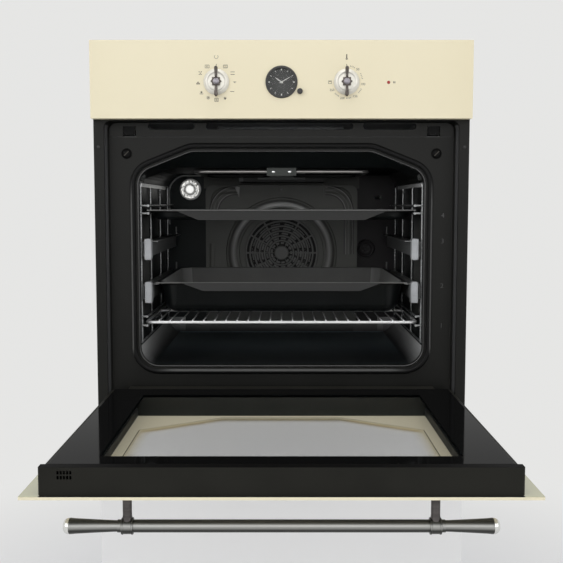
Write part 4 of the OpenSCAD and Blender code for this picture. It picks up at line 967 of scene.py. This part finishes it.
for side, which in SIDES:
    for low, high, level in ((60.0, 250.0, "low"), (285.0, 500.0, "high")):
        sheet_bead("side_bead_%s_%s" % (which, level), rectangle(40.0, low, 510.0, high), "X",
                   side * 280.6)
for low, high, end in ((185.0, 285.0, "front"), (320.0, 500.0, "rear")):
    sheet_bead("top_bead_" + end, rectangle(-240.0, low, 240.0, high), "Z", 587.4)


def sheet_screw(x, y, z, axis, out):
    """A pan-head screw; out is the way that it faces."""
    flat = {"X": x, "Z": z}[axis]
    head = [(r, flat + out * rise) for r, rise in (
        (0, 1.5), (1.2, 1.5), (2.4, 1.2), (3.3, 0.6), (3.5, 0), (3.5, -0.4), (0, -0.4))]
    return turned("sheet_screw", head, (x, y, z), axis=axis, steps=16, smooth=60.0)


heads = [sheet_screw(side * 282.0, y, z, "X", side) for side in (-1, 1)
         for y in (18.0, 275.0, 532.0) for z in (14.0, 574.0)]
heads += [sheet_screw(x, y, 589.0, "Z", 1) for x, y in (
    (-268.0, 532.0), (-90.0, 532.0), (90.0, 532.0), (268.0, 532.0), (-268.0, 20.0),
    (268.0, 20.0))]
dress(joined("sheet_screws", heads), "hinge_steel")

# Back: screws set flush into the cover
flush = [turned("flush_screw", [(0, 544.2), (1.1, 544.2), (1.3, 544.95), (3.4, 544.95),
                                (3.4, 544.0), (0, 544.0)], (x, 0, z), steps=16)
         for x in (-268.0, 0.0, 268.0) for z in (14.0, 300.0, 560.0) if (x, z) != (0.0, 300.0)]
dress(joined("rear_screws", flush), "hinge_steel")

# Fan cover: pressed plate with a rolled ring, raised ribs and a hook
FAN = (0, 0, FAN_Z)
cover = copied("fan_cover", "fan_cover_pressed", edge=0.4, angle=50.0, segments=1)
dress(cover, "cover_enamel", "casing", "fan_cover")
roll = turned("cover_ring", [
    (87.0, 395.3), (88.2, 393.8), (90.6, 392.6), (94.5, 391.9), (99.0, 391.7), (103.5, 391.9),
    (107.4, 392.6), (109.8, 393.8), (111.0, 395.3), (87.0, 395.3)], FAN, steps=96)
dress(roll, "ring_enamel")
# The ribs' painted highlight lines are in the cover's finish
for where, width, route in (
        ("right", 14.0, [(RIB_X, 240.0), (RIB_X, RIB_Z), (90.0, RIB_Z)]),
        ("left", 14.0, [(-RIB_X, 316.0), (-RIB_X, RIB_Z), (-90.0, RIB_Z)]),
        ("low", 11.0, [(-141.0, 190.0), (-141.0, 262.0)])):
    rib = flat_wire("cover_rib_" + where, [(x, 0.0, z) for x, z in route], width, 2.6, 395.0,
                    bend=RIB_BEND, sides=4)
    dress(rib, "cover_enamel")
for side, which in SIDES:
    tab = plate("cover_tab_" + which, [
        (side * 84.5, 376.5), (side * 95.0, 376.5), (side * 88.0, 362.0), (side * 86.0, 355.0)],
        395.0, 391.6, edge=0.4)
    # The left tab is painted pale as a painted highlight
    dress(tab, "cover_edge" if side < 0 else "cover_enamel")

# Grille of the fan cover: rings and spokes over the slots
back = turned("grille_back", [(0, 394.5), (71.5, 394.5), (71.5, 394.95), (0, 394.95)], FAN,
              steps=64)
dress(back, "blade_view")
bars = [turned("ring", [(r - 1.9, 394.6), (r - 1.2, 393.6), (r + 1.2, 393.6), (r + 1.9, 394.6),
                        (r - 1.9, 394.6)], FAN, steps=64)
        for r in (RING_FIRST + RING_PITCH * i for i in range(5))]
bars.append(turned("rim", [(70.6, 394.9), (70.8, 393.4), (73.6, 393.2), (75.2, 394.9),
                           (70.6, 394.9)], FAN, steps=96))
bars.append(turned("hub", [(0, 393.4), (13.0, 393.4), (14.8, 394.6), (0, 394.6)], FAN))
for i in (0, 1, 2, 4, 5, 6, 7, 8, 10, 11):
    a, b = cos(radians(30.0 * i)), sin(radians(30.0 * i))
    bars.append(plate("spoke", [(a * r - b * s, FAN_Z + b * r + a * s) for r, s in (
        (13.5, -0.6), (72.0, -1.8), (72.0, 1.8), (13.5, 0.6))], 394.6, 393.7))
dress(joined("grille_bars", bars), "grille_bar")
hook = turned("cover_hook", [
    (0, 391.2), (1.6, 391.3), (2.4, 392.2), (2.4, 393.6), (3.6, 394.2), (3.8, 395.2), (0, 395.2)],
    (0, 0, 371.5), steps=24)
dress(hook, "runner_steel")

# Cover of the flue under the ceiling, its two pale folds, and a near-black strip under its lower
# edge as painted shadow
flue = copied("flue_cover", "flue_cover_folded", edge=0.6)
dress(flue, "flue_enamel", "casing", "flue_cover")
for name, outline, y0, y1, edge, finish in (
        ("flue_flange", rounded(-83.8, 386.2, -75.5, 403.0, 1.0), 346.4, 345.0, 0.3, "flue_pale"),
        ("flue_painted_shadow", rounded(-81.0, 383.8, 83.0, 386.6, 0.5), 349.0, 346.2, 0.0, "seam_dark"),
        ("flue_step", rounded(-47.0, 390.0, 47.0, 403.2, 2.0), 346.4, 344.8, 0.3, "flue_pale")):
    dress(plate(name, outline, y0, y1, edge=edge), finish, slot="cavity_enamel")

# Grill: bent tube in its holder with two screws
half_route = [(25, 452.2), (25, 334), (147, 334), (147, 100)]
grill_route = [(-x, y, 397.0) for x, y in half_route]
grill_route += [(x, y, 397.0) for x, y in reversed(half_route)]
tube = wire("grill_tube", grill_route, 3.25, bend=16.0, sides=5)
dress(tube, "grill_metal", "casing", "grill_element")
holder = copied("grill_holder", "grill_holder_folded", edge=0.5)
dress(holder, "holder_steel", "casing", "grill_holder")
for side, which in SIDES:
    screw = turned("holder_screw_" + which, [
        (0, 89.9), (1.3, 90.0), (2.6, 90.6), (3.1, 91.6), (3.1, 92.2), (0, 92.2)],
        (side * 13.6, 0, 396.6), steps=20)
    dress(screw, "chrome_wire")

# Oven lamp: pressed glass with rings, in a bright rim, and the blank cap on the other side
LENS = (LENS_X, 0, LENS_Z)
lens = turned("lamp_glass_pressed", [
    (0, 407.0), (3.0, 406.6), (5.5, 405.6), (8.0, 405.6), (9.6, 406.9), (10.6, 408.6),
    (11.6, 407.6), (13.6, 407.4), (15.4, 408.8), (16.4, 411.0), (17.4, 410.2), (19.2, 411.4),
    (20.6, 414.0), (21.2, 417.5), (21.2, 425.0), (0, 425.0)], LENS, steps=64, smooth=50.0)
dress(lens, "lamp_glass", "casing", "lamp_lens")
rim = turned("lamp_rim", [
    (21.2, 420.0), (21.9, 419.4), (22.7, 420.0), (23.2, 422.0), (23.2, 425.0), (21.2, 425.0),
    (21.2, 420.0)], LENS, steps=64)
dress(rim, "chrome_wire")
cap = turned("blank_cap_pressed", [
    (0, 421.2), (4.0, 421.2), (5.0, 419.6), (9.5, 419.4), (10.5, 421.0), (12.5, 421.4),
    (14.0, 418.8), (16.2, 418.2), (17.8, 419.4), (18.8, 422.0), (19.0, 425.0), (0, 425.0)],
    (CAP_X, 0, CAP_Z), steps=56)
dress(cap, "cavity_enamel", "casing", "blank_cap")
lugs = []
for a in (0.6, 2.2, 3.7, 5.3):
    x, z = CAP_X + 7 * cos(a), CAP_Z + 7 * sin(a)
    lugs.append(plate("lug", rounded(x - 1.6, z - 1.6, x + 1.6, z + 1.6, 0.7, 2), 419.6, 418.6))
dress(joined("blank_cap_lugs", lugs), "flue_enamel")

# Side racks: a knurled bolt at the front top, and a pressed strip along the top wire
for side, which in SIDES:
    bolt = turned("rack_bolt_" + which, sided(side, [
        (0, 233.0), (7.6, 233.0), (8.2, 231.6), (8.2, 226.5), (7.2, 225.6), (4.4, 225.4),
        (3.8, 226.6), (0, 226.6)]), (0, 56.0, 389.0), axis="X", steps=12, smooth=20.0)
    dress(bolt, "flue_enamel")
    strip = plate("rack_strip_" + which, rounded(36.5, 370.0, 346.0, 376.6, 1.2), side * 229.4,
                  side * 228.4, axis="X", edge=0.3)
    dress(strip, "rack_wire")

# Wire rack: a bent frame, a brace, and straight bars of which each is a copy of the first
ROD_Z, BAR_PITCH = 146.8, 18.4
outer = wire("rack_frame", [(x, y, ROD_Z) for x, y in (
    (224, 250), (224, 42), (-224, 42), (-224, 385), (224, 385), (224, 247.5))], 2.5, bend=13.0,
    sides=4)
brace = wire("brace", [(-224, 210, ROD_Z), (224, 210, ROD_Z)], 2.5, sides=4)
first = wire("bar", [(-11 * BAR_PITCH, y, ROD_Z + 3.25) for y in (40, 387)], 1.25, sides=2)
rack_bars = [first]
for i in range(1, 23):
    more = first.copy()
    more.data = first.data.copy()
    bpy.context.scene.collection.objects.link(more)
    more.location = (i * BAR_PITCH * MM, 0.0, 0.0)
    rack_bars.append(more)
rack = settle(joined("wire_rack_bent", [outer, brace] + rack_bars), 60.0)
dress(rack, "rack_wire", "wire_rack", "wire_rack")

# Trays with rolled rims: dark pans with painted shade on their outer walls, grey lips, inner walls
# painted pale as painted light, and painted highlight lines on the rims
RIM_Y = 31.5
for node, body, rim_x, rim_z, rise, edge_finish in (
        ("deep_tray", "lower_carriage", 206.0, 213.4, 0.0, "tray_inner"),
        ("shallow_tray", "shallow_tray", 219.0, 331.4, 0.8, "tray_edge")):
    name = node + "_pressed"
    made = copied(node, name, edge=0.55, angle=40.0)
    dress(made, "tray_lip", body, node)
    # Painted shade on the outer front and side walls, painted light on the inner rear and side
    # walls
    paint(made, "tray_dark", lambda c, n: 33.0 < c.y < 60.0 and n.y < -0.3 and c.z < rim_z - 4.0)
    paint(made, "tray_dark", lambda c, n: c.z < rim_z - 4.0 and abs(c.x) > rim_x - 30.0
          and n.x * c.x > 0.0 and abs(n.x) > 0.3)
    paint(made, "tray_inner", lambda c, n: c.y > 340.0 and n.y < -0.4)
    paint(made, "tray_side", lambda c, n: abs(c.x) > rim_x - 34.0 and n.x * c.x < 0.0
          and abs(n.x) > 0.4 and c.z > rim_z - 42.0)
    # A painted highlight line along each front rim, and a near-black painted shadow line under it
    for part, inset, y, z, radius, finish in (
            ("_rim", 0.0, RIM_Y - 0.6, rim_z + rise, 1.0, edge_finish),
            ("_fold", 6.0, RIM_Y - 1.6, rim_z - 2.0, 0.8, "seam_dark")):
        line = wire(name + part, [(inset - rim_x, y, z), (rim_x - inset, y, z)], radius, sides=2)
        dress(line, finish, body, slot="tray_enamel")
# Painted highlight lines down the deep tray's inner rear corners
corners = joined("deep_tray_corners", [
    wire("corner", [(s * 201.0, 374.0, 212.0), (s * 190.5, 371.0, 170.0)], 1.3) for s in (-1, 1)])
dress(corners, "tray_edge", "lower_carriage")

# Runners: light moulded ends in front of the slides, each with a raised middle
for node, body, sides in (("lower_runner_slides", "lower_carriage", SIDES),
                          ("upper_left_slide", "upper_left_slide", SIDES[:1]),
                          ("upper_right_slide", "upper_right_slide", SIDES[1:])):
    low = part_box(node)[0]
    front_y = low[1] / MM
    middle_z = 198.0 if node == "lower_runner_slides" else low[2] / MM + 17.0
    for side, which in sides:
        a, b = sorted((side * 211.6, side * 223.4))
        for part, inset, half, r, y0, y1, edge, segments in (
                ("end", 0.0, 17.4, 3.6, 15.4, -0.4, 1.6, 3),
                ("seam", 2.6, 5.0, 2.0, -0.3, -0.9, 0.3, 2)):
            made = plate("runner_%s_%s_%s" % (part, node, which), rounded(
                a + inset, middle_z - half, b - inset, middle_z + half, r),
                front_y + y0, front_y + y1, edge=edge, segments=segments)
            dress(made, "runner_end", body)

# Handle: bar with flared ends, ringed collars on posts, and pale domed caps
BAR = (0, BAR_Y, BAR_Z)
bar = turned("handle_rod", [(0, -190.0), (7.4, -190.0), (7.4, 190.0), (0, 190.0)], BAR, axis="X",
             steps=40)
dress(bar, "handle_metal", "door", "handle_bar")
for side, which in SIDES:
    flare = turned("handle_flare_" + which, sided(side, [
        (0, 182.0), (6.4, 182.0), (6.4, 187.0), (6.7, 196.0), (7.4, 212.0), (8.1, 226.0),
        (8.8, 239.0), (9.2, 243.6), (9.4, 245.2), (9.2, 245.9), (8.0, 246.0), (0, 246.0)]),
        BAR, axis="X")
    dress(flare, "handle_metal", "door")
    dome = turned("handle_cap_" + which, sided(side, [
        (0, 245.5), (8.6, 245.5), (9.2, 246.4), (9.3, 247.8), (8.8, 249.6), (7.6, 251.4),
        (5.6, 252.7), (3.0, 253.3), (0, 253.5)]), BAR, axis="X", smooth=60.0)
    dress(dome, "cap_silver", "door")
    post_x = side * 178.7
    post = (post_x, BAR_Y, 0)
    collar = turned("handle_collar_" + which, [(r, post_x + along) for r, along in (
        (7.45, -6.75), (9.4, -6.75), (9.9, -6.2), (9.9, -5.0), (9.2, -4.5), (9.2, 4.5),
        (9.9, 5.0), (9.9, 6.2), (9.4, 6.75), (7.45, 6.75), (7.45, -6.75))], BAR, axis="X")
    dress(collar, "handle_metal", "door", *(["handle_posts"] if side < 0 else []))
    stem = turned("handle_post_" + which, [
        (0, 9.4), (7.6, 9.4), (8.2, 8.6), (8.2, 7.4), (6.4, 6.2), (5.6, 4.0), (5.4, 0.0),
        (5.4, -16.0), (5.9, -21.0), (6.4, -23.6), (0, -23.6)], post, axis="Z", steps=40)
    dress(stem, "pewter", "door")
    stud = turned("handle_stud_" + which, [
        (0, 9.3), (2.95, 9.3), (2.95, 15.6), (5.4, 15.6), (5.4, 18.4), (0, 18.4)], post, axis="Z",
        steps=6, smooth=20.0)
    dress(stud, "hinge_steel", "door")

# Door body: the black rails and side profiles with rounded edges, and the polished glasses
for node, name, edge in (("door_rails", "door_rails_rounded", 0.8),
                         ("door_side_profiles", "door_sides_rounded", 0.6),
                         ("door_outer_glass", "outer_glass_polished", 0.5),
                         ("door_inner_glass", "inner_glass_polished", 0.5)):
    made = copied(node, name, edge=edge)
    dress(made, slot_of[node], "door", node)
    if node == "door_rails":
        paint(made, "seam_dark", lambda c, n: n.z > 0.9 and c.z > 40.0 and c.y < -400.0)

# Stage: pale floor and plinth, soft light, and the photograph's camera
BACKDROP = (0.79, 0.79, 0.78, 1.0)


def straight_rays(nodes):
    """1 where the camera, a mirror or a glass looks at it, 0 where it only lights."""
    ray = nodes.node("LightPath")
    camera, glossy, through = [nodes.read(ray, "Is %s Ray" % kind)
                               for kind in ("Camera", "Glossy", "Transmission")]
    return camera.most(glossy).most(through)


def stage_finish():
    """Pale paint with the object's shadow, which turns into the plain backdrop further out."""
    f = Finish("pale_stage")
    grain = f.noise(30.0, 2.0)
    plain = f.node("BsdfPrincipled", Roughness=0.9,
                   Base_Color=f.mix(grain, (0.79, 0.79, 0.80), (0.81, 0.81, 0.82)))
    glow = f.node("Emission", Color=BACKDROP)
    far = reach(f.x, f.y - 0.1).step(0.35, 1.1)
    both = f.node("MixShader", i0=straight_rays(f) * (0.45 + far * 0.55), i1=plain.outputs[0],
                  i2=glow.outputs[0])
    f.node("OutputMaterial", Surface=both.outputs[0])
    return f.material


pale = stage_finish()
for name, low, high in (("floor", (-6.0, -5.0, -0.42), (6.0, 7.0, -0.40)),
                        ("plinth", (-0.297, 0.004, -0.40), (0.297, 0.55, -0.001))):
    bpy.ops.object.select_all(action="DESELECT")
    bpy.ops.mesh.primitive_cube_add(size=1.0, location=[(a + b) / 2 for a, b in zip(low, high)])
    made = bpy.context.object
    made.name = name
    made.scale = [b - a for a, b in zip(low, high)]
    fix_place()
    made.data.materials.append(pale)

for name, at, look_at, size, power in (
        ("left_panel", (-2.4, -2.6, 1.5), (0, 0, 0.3), (2.6, 2.6), 33.0),
        ("right_panel", (2.6, -2.2, 1.3), (0, 0, 0.3), (2.6, 2.4), 20.0),
        ("front_panel", (0.0, -2.6, 0.9), (0, 0.2, 0.25), (1.6, 1.2), 9.0),
        ("top_panel", (0.0, -0.9, 3.0), (0, -0.1, 0.3), (2.8, 1.8), 24.0),
        ("back_panel", (0.3, 2.2, 3.6), (0, 0.3, 0.3), (2.4, 2.0), 14.0)):
    light = bpy.data.lights.new(name, "AREA")
    light.shape = "RECTANGLE"
    light.size, light.size_y = size
    light.energy = power
    lamp = bpy.data.objects.new(name, light)
    bpy.context.scene.collection.objects.link(lamp)
    lamp.location = at
    lamp.rotation_euler = (Vector(look_at) - Vector(at)).to_track_quat("-Z", "Y").to_euler()

world = bpy.data.worlds.new("studio")
bpy.context.scene.world = world
world.use_nodes = True
sky = Nodes(world.node_tree)
shown = sky.node("Background", Color=BACKDROP, Strength=1.0)
filling = sky.node("Background", Color=(0.93, 0.95, 1.0), Strength=0.42)
both = sky.node("MixShader", i0=straight_rays(sky), i1=filling.outputs[0], i2=shown.outputs[0])
sky.node("OutputWorld", Surface=both.outputs[0])

# The photograph's camera: its focal length and width in pixels, and its tilt down in degrees
FOCAL, WIDTH, TILT = 900.9, 563.0, 4.94
view = bpy.data.cameras.new("photo_view")
view.sensor_width = 36.0
view.lens = view.sensor_width * FOCAL / WIDTH
eye = bpy.data.objects.new("photo_view", view)
bpy.context.scene.collection.objects.link(eye)
eye.location = (0.0, -1.441, 0.3429)
eye.rotation_euler = (radians(90.0 - TILT), 0.0, 0.0)
bpy.context.scene.camera = eye
bpy.context.scene.view_settings.view_transform = "Standard"
